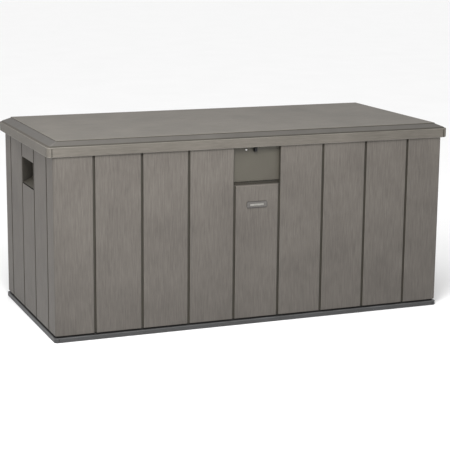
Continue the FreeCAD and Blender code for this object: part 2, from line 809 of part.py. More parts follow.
def lid_bumpers():
    pads = []
    height = underside_z - bumper_gap - wall_top
    for x, y in bumper_places():
        pad = rod((x, y, wall_top), UP, height, bumper_radius)
        pad = pad.makeFillet(bumper_round, level_edges(pad, wall_top + height))
        stem = rod((x, y, wall_top - bumper_stem_length), UP, bumper_stem_length, bumper_stem_radius)
        pads.append(joined([pad, stem]))
    return Part.makeCompound(pads)


def both_sides(shape):
    return Part.makeCompound([shape, mirrored_x(shape)])


def main():
    os.makedirs("parts", exist_ok=True)
    end = side_panel()
    spring = lid_spring()
    bands = channel_bands()
    save("floor_panel", floor_panel())
    save("front_panel", front_panel())
    save("back_panel", back_panel())
    save("right_panel", end)
    save("left_panel", mirrored_x(end))
    panel, skirt = lid_split()
    save("lid_panel", panel)
    save("lid_skirt", skirt)
    save("front_lid_channel", hat_channel(bands[0]))
    save("rear_lid_channel", hat_channel(bands[1]))
    save("hinge_rod", rod((-rod_half, hinge_y, hinge_z), ALONG, 2 * rod_half, rod_radius))
    save("hinge_rod_caps", rod_caps())
    save("right_lid_spring", spring)
    save("left_lid_spring", mirrored_x(spring))
    save("spring_wall_clips", both_sides(wall_clip()))
    save("spring_lid_clips", both_sides(lid_clip()))
    save("lock_eye", lock_eye())
    save("lock_tab", lock_tab())
    save("lock_bolt", lock_bolt())
    save("lock_nut", lock_nut())
    save("blank_badge", blank_badge())
    save("lid_bumpers", lid_bumpers())
    save("panel_lap_screws", Part.makeCompound([screw(seat, way, lap_screw_length)
                                                for seat, way in lap_screw_seats()]))
    floor_seats = [(x, y, counterbore_depth) for x, y in floor_screw_places()]
    save("floor_screws", screws(floor_seats, UP, floor_screw_length))
    save("wall_clip_screws", screws(clip_screw_seats(), BACK, clip_screw_length))
    save("lid_clip_screws", screws(lid_clip_screw_seats(), UP, lid_screw_length))
    save("lock_tab_screws", screws(tab_screw_seats(), UP, lid_screw_length))
    save("front_channel_screws", screws(channel_screw_seats(bands[0]), UP, lid_screw_length))
    save("rear_channel_screws", screws(channel_screw_seats(bands[1]), UP, lid_screw_length))


main()
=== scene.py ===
import json
import math
import bpy
import bmesh
from mathutils import Matrix, Vector


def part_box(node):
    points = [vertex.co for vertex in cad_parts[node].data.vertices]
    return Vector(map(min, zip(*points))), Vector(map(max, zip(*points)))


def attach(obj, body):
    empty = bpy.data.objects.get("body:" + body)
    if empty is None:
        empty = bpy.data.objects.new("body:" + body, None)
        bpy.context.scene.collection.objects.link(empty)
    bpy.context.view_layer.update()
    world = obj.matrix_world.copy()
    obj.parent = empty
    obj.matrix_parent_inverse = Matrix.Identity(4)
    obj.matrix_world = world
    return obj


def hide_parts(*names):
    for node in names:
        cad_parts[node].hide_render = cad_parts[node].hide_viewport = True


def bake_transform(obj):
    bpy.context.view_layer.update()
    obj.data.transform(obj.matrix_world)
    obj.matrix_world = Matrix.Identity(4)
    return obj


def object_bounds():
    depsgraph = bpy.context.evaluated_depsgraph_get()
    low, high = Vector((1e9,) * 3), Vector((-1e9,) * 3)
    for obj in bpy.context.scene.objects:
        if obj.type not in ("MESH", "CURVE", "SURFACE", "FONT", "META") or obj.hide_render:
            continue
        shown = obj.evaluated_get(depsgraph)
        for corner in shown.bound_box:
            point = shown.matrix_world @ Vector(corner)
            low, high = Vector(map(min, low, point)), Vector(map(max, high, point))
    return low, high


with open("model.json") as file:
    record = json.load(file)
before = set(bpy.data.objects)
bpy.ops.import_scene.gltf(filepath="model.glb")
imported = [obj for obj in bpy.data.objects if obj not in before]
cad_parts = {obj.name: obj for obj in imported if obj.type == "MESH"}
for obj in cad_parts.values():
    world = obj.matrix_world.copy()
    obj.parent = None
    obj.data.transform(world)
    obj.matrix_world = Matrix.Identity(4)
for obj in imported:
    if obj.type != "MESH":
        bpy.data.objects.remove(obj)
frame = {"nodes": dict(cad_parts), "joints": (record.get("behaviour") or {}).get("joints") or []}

mm = 0.001
cadLow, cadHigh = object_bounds()
print("frame loaded:", len(frame["nodes"]), "nodes")


# Materials

def toLinear(hexColour):
    channels = [int(hexColour[i:i + 2], 16) / 255 for i in (0, 2, 4)]
    return [c / 12.92 if c <= 0.04045 else ((c + 0.055) / 1.055) ** 2.4 for c in channels] + [1.0]


def addNode(material, kind, settings={}, links={}, out=0):
    # settings name a property or an input, links name an input and the socket that feeds it
    node = material.node_tree.nodes.new(kind)
    for name, value in settings.items():
        if hasattr(node, str(name)):
            setattr(node, name, value)
        else:
            node.inputs[name].default_value = value
    for name, source in links.items():
        material.node_tree.links.new(source, node.inputs[name])
    return node.outputs[out] if node.outputs else node


def newMaterial(name):
    material = bpy.data.materials.new(name)
    material.use_nodes = True
    material.node_tree.nodes.clear()
    return material


noiseSpan = {"From Min": 0.3, "From Max": 0.7}      # where most of a noise's values lie


def stretchedNoise(material, size, detail=2.0, distortion=0.0):
    # noise whose features measure size = (x, y, z) in metres on the object
    place = addNode(material, "ShaderNodeTexCoord", out="Object")
    stretch = addNode(material, "ShaderNodeMapping", {"Scale": [1 / s for s in size]}, {"Vector": place})
    return addNode(material, "ShaderNodeTexNoise",
                   {"Scale": 1.0, "Detail": detail, "Roughness": 0.55, "Distortion": distortion},
                   {"Vector": stretch})


def shades(material, share, pale, dark):
    # dark where share is 0 and pale where it is 1
    return addNode(material, "ShaderNodeMix", {"data_type": "RGBA", 6: toLinear(dark), 7: toLinear(pale)},
                   {0: share}, out=2)


def rubbedEdges(material, colour, patches, scuff):
    # paler in patches along the faces marked as rounded edges
    edge = addNode(material, "ShaderNodeAttribute", {"attribute_name": "edgeStrip"}, out="Fac")
    patchy = addNode(material, "ShaderNodeMapRange", {**noiseSpan, "To Min": 0.25, "To Max": 0.9},
                     {"Value": patches})
    worn = addNode(material, "ShaderNodeMath", {"operation": "MULTIPLY"}, {0: edge, 1: patchy})
    return addNode(material, "ShaderNodeMix", {"data_type": "RGBA", 7: toLinear(scuff)},
                   {0: worn, 6: colour}, out=2)


def finishMaterial(material, colour, roughSource, rough, height, relief, settings):
    # rough is the lowest and highest roughness; relief is the bump's real depth in metres
    roughness = addNode(material, "ShaderNodeMapRange", {**noiseSpan, "To Min": rough[0], "To Max": rough[1]},
                        {"Value": roughSource})
    bump = addNode(material, "ShaderNodeBump", {"Strength": 1.0, "Distance": relief}, {"Height": height})
    shader = addNode(material, "ShaderNodeBsdfPrincipled", settings,
                     {"Base Color": colour, "Roughness": roughness, "Normal": bump})
    addNode(material, "ShaderNodeOutputMaterial", {}, {"Surface": shader})
    return material


grainLook = {
    "streak": 4.5 * mm,         # real grain lines are under 1 mm; drawn coarser so that they show
    "streakLength": 70 * mm,
    "fibre": 2.2 * mm,
    "fibreLength": 26 * mm,
    "cloud": 150 * mm,
    "relief": 0.3 * mm,
    "rough": (0.54, 0.7),
    "paintedShadeSpan": (30 * mm, 650 * mm),
}


def grainedPolyethylene(name, along, pale, dark, scuff, foot=1.0, head=1.0):
    # HDPE blown into a wood-grained mould: dull satin, faint streaks along the plank, edges scuffed paler,
    # and painted shade that scales the colour by foot at the bottom and head at the top
    material = newMaterial(name)
    look = grainLook
    streakSize = [look["streakLength"] if axis == along else look["streak"] for axis in "xyz"]
    fibreSize = [look["fibreLength"] if axis == along else look["fibre"] for axis in "xyz"]
    streak = stretchedNoise(material, streakSize, 3.0, 0.4)
    fibre = stretchedNoise(material, fibreSize, 4.0, 0.8)
    cloud = stretchedNoise(material, [look["cloud"]] * 3)
    lines = addNode(material, "ShaderNodeMix", {0: 0.45}, {2: streak, 3: fibre})
    tone = addNode(material, "ShaderNodeMix", {0: 0.25}, {2: lines, 3: cloud})
    share = addNode(material, "ShaderNodeMapRange", {"From Min": 0.36, "From Max": 0.64}, {"Value": tone})
    colour = rubbedEdges(material, shades(material, share, pale, dark), cloud, scuff)
    # painted shade: darker towards the bottom, a little lighter at the top
    if foot != head:
        place = addNode(material, "ShaderNodeTexCoord", out="Object")
        height = addNode(material, "ShaderNodeSeparateXYZ", {}, {"Vector": place}, out="Z")
        low, high = look["paintedShadeSpan"]
        paintedShadeScale = addNode(material, "ShaderNodeMapRange",
                       {"From Min": low, "From Max": high, "To Min": foot, "To Max": head}, {"Value": height})
        colour = addNode(material, "ShaderNodeHueSaturation", {}, {"Color": colour, "Value": paintedShadeScale})
    return finishMaterial(material, colour, fibre, look["rough"], lines, look["relief"], {"IOR": 1.5})


def smoothPolyethylene(name, pale, dark, scuff, rough=(0.46, 0.6)):
    # the same plastic where the mould is polished: a little darker and slicker, with a faint orange peel
    material = newMaterial(name)
    peel = stretchedNoise(material, [3 * mm] * 3)
    cloud = stretchedNoise(material, [90 * mm] * 3, 3.0)
    share = addNode(material, "ShaderNodeMapRange", noiseSpan, {"Value": cloud})
    colour = rubbedEdges(material, shades(material, share, pale, dark), cloud, scuff)
    return finishMaterial(material, colour, cloud, rough, peel, 0.08 * mm, {"IOR": 1.5})


def platedSteel(name, pale, dark, rough=(0.25, 0.42)):
    # zinc-plated steel: grey metal with soft blotches of duller plating and fine drawing marks
    material = newMaterial(name)
    blotch = stretchedNoise(material, [6 * mm] * 3, 3.0)
    scratch = stretchedNoise(material, [25 * mm, 0.7 * mm, 0.7 * mm])
    share = addNode(material, "ShaderNodeMapRange", noiseSpan, {"Value": blotch})
    colour = shades(material, share, pale, dark)
    return finishMaterial(material, colour, blotch, rough, scratch, 0.02 * mm, {"Metallic": 1.0})


def powderCoat(name, pale, dark):
    # polyester powder coat on steel: a fine even orange peel over one colour
    material = newMaterial(name)
    peel = stretchedNoise(material, [1.6 * mm] * 3)
    cloud = stretchedNoise(material, [35 * mm] * 3, 3.0)
    share = addNode(material, "ShaderNodeMapRange", noiseSpan, {"Value": cloud})
    return finishMaterial(material, shades(material, share, pale, dark), peel, (0.5, 0.65), peel, 0.05 * mm,
                          {"IOR": 1.45})


def mouldedRubber(name, pale, dark):
    # EPDM rubber: black and matt, with a dusty bloom
    material = newMaterial(name)
    bloom = stretchedNoise(material, [4 * mm] * 3, 4.0)
    share = addNode(material, "ShaderNodeMapRange", noiseSpan, {"Value": bloom})
    return finishMaterial(material, shades(material, share, pale, dark), bloom, (0.7, 0.88), bloom, 0.1 * mm,
                          {"IOR": 1.52})


# walls painted darker towards the bottom and slightly lighter at the top, as shade
wallGrain = grainedPolyethylene("wallGrainedHdpe", "z", "615c56", "4a4540", "716c65", 0.79, 1.03)
lidGrain = grainedPolyethylene("lidGrainedHdpe", "x", "6b665f", "56534d", "777269")
# the lid's grained plastic, darkened on the skirt as painted shade
skirtGrainPaintedShade = grainedPolyethylene("skirtGrainPaintedShadeHdpe", "x", "635e57", "504c45", "7d7971")
wallSmooth = smoothPolyethylene("wallSmoothHdpe", "4b483f", "46423a", "67635a")
lidSmooth = smoothPolyethylene("lidSmoothHdpe", "4b463f", "433f38", "59544c", (0.6, 0.72))
# painted shade: darker colour in grooves, joints, the recess band, the pocket and the lid's lines, where
# shade falls
groovePaintedShade = smoothPolyethylene("groovePaintedShadeHdpe", "38342c", "2f2c25", "3e3a32", (0.6, 0.75))
# painted shade: near-black in the gap under the pocket and the shadow gap under the walls
gapPaintedShade = smoothPolyethylene("gapPaintedShadeHdpe", "24221d", "1c1a17", "35322c", (0.65, 0.8))
insideSmooth = smoothPolyethylene("insideHdpe", "504d49", "494642", "5b5854")
baseSmooth = smoothPolyethylene("baseGreyHdpe", "363637", "2f2f2f", "505050")
zincPlate = platedSteel("zincPlatedSteel", "b4b6ba", "8c8f94")
springWire = platedSteel("oiledSpringSteel", "6e7076", "4d4f55", (0.22, 0.35))
brightSteel = platedSteel("polishedStainless", "f2f2f0", "e2e2e0", (0.3, 0.42))
channelCoat = powderCoat("greyPowderCoat", "6f6d69", "625f5c")
blackCoat = powderCoat("blackPowderCoat", "111112", "0b0b0c")
bumperRubber = mouldedRubber("blackRubber", "2c2b2a", "1b1a19")
badgeDark = smoothPolyethylene("badgeDarkAbs", "2e2c2a", "262423", "44423f", (0.4, 0.5))
badgeField = smoothPolyethylene("badgeGreyAbs", "5a5754", "504d4a", "6a6764", (0.4, 0.5))
badgeBar = platedSteel("badgeSatinFoil", "a8a6a1", "92908b", (0.36, 0.48))
print("materials made:", len(bpy.data.materials))


# Mesh tools

def blockMesh(low, high):
    bm = bmesh.new()
    bmesh.ops.create_cube(bm, size=1)
    low, high = Vector(low), Vector(high)
    bmesh.ops.scale(bm, vec=high - low, verts=bm.verts)
    bmesh.ops.translate(bm, vec=(low + high) / 2, verts=bm.verts)
    return bm


def rodMesh(start, end, radius, segments=32):
    # closed cylinder between two points
    bm = bmesh.new()
    start, end = Vector(start), Vector(end)
    bmesh.ops.create_cone(bm, cap_ends=True, segments=segments, radius1=radius, radius2=radius,
                          depth=(end - start).length)
    turn = (end - start).to_track_quat("Z", "Y").to_matrix()
    bmesh.ops.rotate(bm, matrix=turn, verts=bm.verts)
    bmesh.ops.translate(bm, vec=(start + end) / 2, verts=bm.verts)
    return bm


def bevelEdges(bm, edges, width, segments=3):
    bmesh.ops.bevel(bm, geom=list(edges), offset=width, offset_type="OFFSET", affect="EDGES",
                    segments=segments, profile=0.5, material=-1, clamp_overlap=True)
    return bm


def edgesWhere(bm, test, least=25):
    # edges that turn by more than least degrees and whose two ends both pass the test
    found = []
    for edge in bm.edges:
        if len(edge.link_faces) == 2 and math.degrees(edge.calc_face_angle()) > least:
            if all(test(v.co) for v in edge.verts):
                found.append(edge)
    return found


def filletOutline(corners, steps=4):
    # corners are (u, v, radius); each becomes an arc, or stays sharp where its radius is 0
    points = []
    for i, (u, v, radius) in enumerate(corners):
        here = Vector((u, v))
        if not radius:
            points.append(here)
            continue
        back = (Vector(corners[i - 1][:2]) - here).normalized()
        on = (Vector(corners[(i + 1) % len(corners)][:2]) - here).normalized()
        half = back.angle(on) / 2
        centre = here + (back + on).normalized() * (radius / math.sin(half))
        first = here + back * (radius / math.tan(half)) - centre
        last = here + on * (radius / math.tan(half)) - centre
        turn = first.angle_signed(last)
        for k in range(steps + 1):
            arm = first.copy()
            arm.rotate(Matrix.Rotation(-turn * k / steps, 2))
            points.append(centre + arm)
    return [p for i, p in enumerate(points) if (p - points[i - 1]).length > 1e-6]


def vertsIn(geometry):
    return [g for g in geometry if isinstance(g, bmesh.types.BMVert)]


def drawnOut(points, axis, start, end):
    # outline of (u, v) points pushed along an axis: X takes (y, z), Y takes (x, z) and Z takes (x, y)
    bm = bmesh.new()
    verts = []
    for u, v in points:
        place = [u, v]
        place.insert(axis, start)
        verts.append(bm.verts.new(place))
    grown = bmesh.ops.extrude_face_region(bm, geom=[bm.faces.new(verts)])["geom"]
    push = Vector((0, 0, 0))
    push[axis] = end - start
    bmesh.ops.translate(bm, vec=push, verts=vertsIn(grown))
    bmesh.ops.recalc_face_normals(bm, faces=bm.faces)
    return bm


def ringStack(halfX, halfY, centreY, corner, profile, endStretch=1.0, steps=8):
    # rounded rectangles joined from bottom to top; profile is (inset, z), stretched at the ends
    bm = bmesh.new()
    below = None
    for inset, z in profile:
        x, y = halfX - inset * endStretch, halfY - inset
        radius = max(corner - inset, 1 * mm)
        outline = filletOutline([(-x, -y, radius), (x, -y, radius), (x, y, radius), (-x, y, radius)], steps)
        ring = [bm.verts.new((u, v + centreY, z)) for u, v in outline]
        if below:
            for i in range(len(ring)):
                bm.faces.new((below[i - 1], below[i], ring[i], ring[i - 1]))
        else:
            bm.faces.new(ring)
        below = ring
    bm.faces.new(below)
    bmesh.ops.recalc_face_normals(bm, faces=bm.faces)
    return bm


def meshFrom(parts):
    # several closed shapes in one mesh
    whole = bmesh.new()
    for bm in parts:
        piece = bpy.data.meshes.new("part")
        bm.to_mesh(piece)
        bm.free()
        whole.from_mesh(piece)
        bpy.data.meshes.remove(piece)
    return whole


def pieceFrom(name, bm):
    bmesh.ops.recalc_face_normals(bm, faces=bm.faces)
    mesh = bpy.data.meshes.new(name)
    bm.to_mesh(mesh)
    bm.free()
    piece = bpy.data.objects.new(name, mesh)
    bpy.context.scene.collection.objects.link(piece)
    return piece


def carve(piece, cutter, operation="DIFFERENCE"):
    # cutter is a bmesh; the result replaces the piece's mesh
    tool = pieceFrom("carvingTool", cutter)
    change = piece.modifiers.new("carve", "BOOLEAN")
    change.operation, change.solver, change.object = operation, "EXACT", tool
    bpy.context.view_layer.update()
    carved = bpy.data.meshes.new_from_object(piece.evaluated_get(bpy.context.evaluated_depsgraph_get()))
    piece.modifiers.clear()
    old, piece.data = piece.data, carved
    carved.name = piece.name
    bpy.data.meshes.remove(old)
    bpy.data.objects.remove(tool)
    return piece


def markWear(piece):
    # narrow faces that face no axis squarely are the small rounded edges, which rub pale
    wear = piece.data.attributes.new("edgeStrip", "FLOAT", "FACE")
    for face in piece.data.polygons:
        corners = [piece.data.vertices[i].co for i in face.vertices]
        longest = max((a - b).length for a, b in zip(corners, corners[1:] + corners[:1]))
        narrow = face.area < 1.5 * mm * longest
        wear.data[face.index].value = 1.0 if narrow and max(abs(c) for c in face.normal) < 0.97 else 0.0


def dress(piece, materials, choose=None, angle=32):
    # materials by face, smooth shading, and normals that keep flat faces flat
    piece.data.materials.clear()
    for material in materials:
        piece.data.materials.append(material)
    for face in piece.data.polygons:
        face.material_index = choose(face.center, face.normal) if choose else 0
    markWear(piece)
    piece.data.shade_smooth()
    piece.data.set_sharp_from_angle(angle=math.radians(angle))
    even = piece.modifiers.new("evenNormals", "WEIGHTED_NORMAL")
    even.keep_sharp = True
    return piece


def settle(piece, body, slot, *nodes):
    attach(piece, body)
    if nodes:
        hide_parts(*nodes)
    print("made", piece.name, len(piece.data.polygons), "faces")
    return piece


# Places read from the frame

frontLow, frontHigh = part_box("front_panel")
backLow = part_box("back_panel")[0]
endLow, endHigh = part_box("right_panel")
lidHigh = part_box("lid_panel")[1]
floorLow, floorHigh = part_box("floor_panel")
hinge = Vector(frame["joints"][0]["pos_m"])

wall = {
    "thick": 22 * mm,
    "corner": 8 * mm,
    "grooveWide": 8 * mm,
    "grooveDeep": 7 * mm,
    "endPlank": 142.4 * mm,
    "planks": 9,
    "edge": 1.6 * mm,
    "root": 1.2 * mm,
    "insideCorner": 6 * mm,
    "lapLip": 6.6 * mm,
    "lap": 26 * mm,
}
tack = {                        # dimples on the inside of the walls
    "wide": 62 * mm,
    "tall": 130 * mm,
    "deep": 8 * mm,
    "round": 18 * mm,
    "edge": 5 * mm,
    "rows": 3,
    "fromFoot": 60 * mm,
    "fromTop": 50 * mm,
}
halfBody = frontHigh.x
bodyFront, bodyBack = frontLow.y, cadHigh.y - 5 * mm
bodyMid = (bodyFront + bodyBack) / 2
foot, wallTop = frontLow.z, frontHigh.z
inX = halfBody - wall["thick"]
inFront, inBack = bodyFront + wall["thick"], bodyBack - wall["thick"]
plankPitch = (2 * halfBody - 2 * wall["endPlank"]) / (wall["planks"] - 2)
grooves = [(k - (wall["planks"] - 2) / 2) * plankPitch for k in range(wall["planks"] - 1)]
lapFront, lapBack = frontHigh.y, backLow.y
sidePitch = (lapBack - lapFront - wall["grooveWide"]) / 3
sideGrooves = [bodyMid - sidePitch / 2, bodyMid + sidePitch / 2]
over = 5 * mm                   # how far a cutter runs past what it cuts


def dimple(low, high, axis, deepest, corner, steps, edge):
    # cutter with round corners along one axis and a round edge at its deepest face
    bm = blockMesh(low, high)
    along = [e for e in bm.edges if abs(e.verts[0].co[axis] - e.verts[1].co[axis]) > over]
    bevelEdges(bm, along, corner, steps)
    return bevelEdges(bm, edgesWhere(bm, lambda co: abs(co[axis] - deepest) < 1e-5), edge, 3)


def tackOffs(places, axis, face, inward):
    # shallow rounded dimples where the two skins are pinched together; places are (across, z)
    tools = []
    for across, z in places:
        low, high = Vector((0, 0, z - tack["tall"] / 2)), Vector((0, 0, z + tack["tall"] / 2))
        low[1 - axis], high[1 - axis] = across - tack["wide"] / 2, across + tack["wide"] / 2
        deepest = face + inward * tack["deep"]
        low[axis], high[axis] = sorted((face - inward * over, deepest))
        tools.append(dimple(low, high, axis, deepest, tack["round"], 5, tack["edge"]))
    return meshFrom(tools)


def tackRows():
    low, high = foot + tack["fromFoot"], wallTop - tack["fromTop"]
    step = (high - low) / tack["rows"]
    return [low + step * (i + 0.5) for i in range(tack["rows"])]


def plankCentres(low, centres, high):
    edges = [low] + centres + [high]
    return [(a + b) / 2 for a, b in zip(edges, edges[1:])]


def grooveCorners(centres, face, inward, across):
    # the notches along one face, as outline corners; across says whether the centres run along X
    half, deep, lip, root = wall["grooveWide"] / 2, wall["grooveDeep"], wall["edge"], wall["root"]
    corners = []
    for g in centres:
        notch = [(g - half, face, lip), (g - half, face + inward * deep, root),
                 (g + half, face + inward * deep, root), (g + half, face, lip)]
        corners += notch if across else [(v, u, r) for u, v, r in notch]
    return corners


def longWall(name, front):
    # U-shaped in plan: nine planks, a return round each corner and a lip that laps the end wall
    outer, inner = (bodyFront, inFront) if front else (bodyBack, inBack)
    inward = 1 if front else -1
    end = lapFront if front else lapBack
    lapEnd = end - inward * wall["lap"]
    lip = halfBody - wall["lapLip"]
    corners = [(-halfBody, end, wall["edge"]), (-halfBody, outer, wall["corner"])]
    corners += grooveCorners(grooves, outer, inward, True)
    corners += [(halfBody, outer, wall["corner"]), (halfBody, end, wall["edge"]), (lip, end, 0),
                (lip, lapEnd, 0), (inX, lapEnd, wall["edge"]), (inX, inner, wall["insideCorner"]),
                (-inX, inner, wall["insideCorner"]), (-inX, lapEnd, wall["edge"]), (-lip, lapEnd, 0),
                (-lip, end, 0)]
    return pieceFrom(name, drawnOut(filletOutline(corners), 2, foot, wallTop))


def inGroove(value, centres):
    # between a groove's two lips, or on them
    return any(abs(value - g) < wall["grooveWide"] / 2 + wall["edge"] for g in centres)


recess = {
    "floor": 508 * mm,          # top of the short plank
    "band": 12 * mm,            # deep slot between the short plank and the smooth face
    "deep": 15 * mm,
    "skin": 2.2 * mm,
    "plankRound": 2.0 * mm,
    "faceRound": 3.0 * mm,
    "clear": 80 * mm,           # kept free of dimples below the short plank's top
}
lock = {"plate": 4 * mm, "lugTall": 16 * mm, "fit": 0.4 * mm, "edge": 0.3 * mm}
halfRecess = plankPitch / 2 + wall["grooveWide"] / 2
recessFace = bodyFront + recess["deep"]
bandTop = recess["floor"] + recess["band"]


def wallFinish(outer, inward):
    # 0 grained outside, 1 smooth recess, 2 painted shade in the grooves, on their lips, at the lap joints and
    # on the recess's band and sides, 3 inside
    jointY = lapFront if inward > 0 else lapBack

    def choose(centre, normal):
        depth = (centre.y - outer) * inward
        inWidth = inward > 0 and abs(centre.x) < halfRecess + 0.1 * mm
        inSlot = inWidth and centre.z > recess["floor"] + 0.1 * mm
        if inSlot and 0.5 * mm < depth < wall["thick"] - 0.5 * mm:
            # the recess's band and side walls are painted darker as shade
            return 2 if centre.z < bandTop - 0.1 * mm or abs(normal.x) > 0.9 else 1
        if abs(centre.y - jointY) < wall["edge"] and abs(centre.x) < halfBody - 0.1 * mm:
            return 2
        if 0.1 * mm < depth < wall["grooveDeep"] + 0.1 * mm and inGroove(centre.x, grooves):
            return 2
        inside = depth > wall["thick"] - 0.1 * mm and abs(centre.x) < inX + 0.1 * mm
        tacked = depth > wall["thick"] / 2 and abs(centre.x) < inX - over
        return 3 if inside or tacked else 0
    return choose


def frontWall():
    piece = longWall("frontWall", True)
    y0, z0, r0, r1 = bodyFront, recess["floor"], recess["plankRound"], recess["faceRound"]
    skinY = inFront - recess["skin"]
    section = [(y0 - over, z0 - r0, 0), (y0, z0 - r0, 0), (y0, z0, r0), (skinY, z0, 0), (skinY, bandTop, 0),
               (recessFace, bandTop, r1), (recessFace, wallTop + over, 0), (y0 - over, wallTop + over, 0)]
    carve(piece, drawnOut(filletOutline(section, 5), 0, -halfRecess, halfRecess))
    eyeHigh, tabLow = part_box("lock_eye")[1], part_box("lock_tab")[0]
    fit = lock["fit"]
    carve(piece, blockMesh((eyeHigh.x - lock["plate"] - fit, recessFace - over, tabLow.z - fit),
                           (eyeHigh.x + fit, inFront + over, tabLow.z + lock["lugTall"] + fit)))
    places = [(x, z) for x in plankCentres(-inX, grooves, inX) for z in tackRows()
              if abs(x) > plankPitch / 2 or z < recess["floor"] - recess["clear"]]
    carve(piece, tackOffs(places, 1, inFront, -1))
    dress(piece, [wallGrain, wallSmooth, groovePaintedShade, insideSmooth], wallFinish(bodyFront, 1))
    return settle(piece, "cabinet", "walls", "front_panel")


knuckle = {
    "radius": 13 * mm,
    "width": 60 * mm,
    "bore": 4.03 * mm,
    "round": 1.2 * mm,
    "inset": 102 * mm,
    "count": 4,
    "behind": 4 * mm,           # from the knuckles to the step in the wall's top
    "below": 3 * mm,
    "root": 12 * mm,            # how far the knuckle's block reaches down into the wall
    "chamfer": 2 * mm,
}
hair = 0.01 * mm                # keeps two faces out of one plane


def knucklePlaces():
    outer = inX - knuckle["inset"]
    return [-outer + 2 * outer * i / (knuckle["count"] - 1) for i in range(knuckle["count"])]


def knuckleMesh(x):
    x0, x1 = x - knuckle["width"] / 2, x + knuckle["width"] / 2
    bm = rodMesh((x0, hinge.y, hinge.z), (x1, hinge.y, hinge.z), knuckle["radius"], 48)
    return bevelEdges(bm, edgesWhere(bm, lambda co: True, 60), knuckle["round"], 2)


def backWall():
    piece = longWall("backWall", False)
    backTop = hinge.z - knuckle["radius"] - knuckle["below"]
    stepY = hinge.y - knuckle["radius"] - knuckle["behind"]
    chamfer = knuckle["chamfer"]
    top = [(stepY, wallTop + over, 0), (stepY, backTop, chamfer), (bodyBack, backTop, 0),
           (bodyBack, backTop - chamfer, 0), (bodyBack + over, backTop - chamfer, 0),
           (bodyBack + over, wallTop + over, 0)]
    carve(piece, drawnOut(filletOutline(top), 0, -halfBody - over, halfBody + over))
    for x in knucklePlaces():
        half = knuckle["width"] / 2 - knuckle["round"]
        carve(piece, blockMesh((x - half, hinge.y - knuckle["radius"], backTop - knuckle["root"]),
                               (x + half, hinge.y - hair, hinge.z - hair)), "UNION")
        carve(piece, knuckleMesh(x), "UNION")
    carve(piece, rodMesh((cadLow.x, hinge.y, hinge.z), (cadHigh.x, hinge.y, hinge.z), knuckle["bore"]))
    springLow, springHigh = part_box("right_lid_spring")
    legX = springHigh.x - spring["wire"]
    for side in (-1, 1):
        x = side * legX
        carve(piece, blockMesh((x - spring["slotHalf"], inBack - over, springLow.z),
                               (x + spring["slotHalf"], inBack + spring["slotDeep"], backTop + over)))
    places = [(x, z) for x in plankCentres(-inX, grooves, inX) for z in tackRows()
              if z + tack["tall"] / 2 < springLow.z or abs(abs(x) - legX) > plankPitch / 2]
    carve(piece, tackOffs(places, 1, inBack, 1))
    dress(piece, [wallGrain, wallSmooth, groovePaintedShade, insideSmooth], wallFinish(bodyBack, -1))
    return settle(piece, "cabinet", "walls", "back_panel")


spring = {
    "wire": 1.4 * mm,
    "coil": 11.3 * mm,
    "turns": 10,
    "steps": 28,
    "slotHalf": 2.2 * mm,       # slots in wall and lid that the legs lie in
    "slotDeep": 5 * mm,
    "slotLong": 91 * mm,
    "slotTall": 13.5 * mm,
}

pocket = {
    "low": 490 * mm,
    "high": 585 * mm,
    "deep": 38 * mm,
    "floorRise": 18 * mm,
    "skin": 3 * mm,
    "round": 10 * mm,
    "slit": 3 * mm,
    "slitEdge": 1.2 * mm,
    "overlap": 0.03 * mm,       # into the grooves at each side
    "clear": 20 * mm,           # kept free of dimples below it
    "tongueFit": 0.4 * mm,
}


def pocketMesh(grow, reach):
    # the pocket's section drawn along Y; its floor climbs inward and its inner edges are rounded
    deepX = halfBody - pocket["deep"] - grow
    low, high, rise = pocket["low"] - grow, pocket["high"] + grow, pocket["floorRise"]
    section = [(halfBody + reach, high, 0), (deepX, high, pocket["round"]),
               (deepX, low + rise, pocket["round"]), (halfBody, low, 0), (halfBody + reach, low, 0)]
    halfY = sidePitch / 2 - wall["grooveWide"] / 2 + pocket["overlap"] + grow
    outline = filletOutline(section if reach else section[:-1], 6)
    return drawnOut(outline, 1, bodyMid - halfY, bodyMid + halfY)


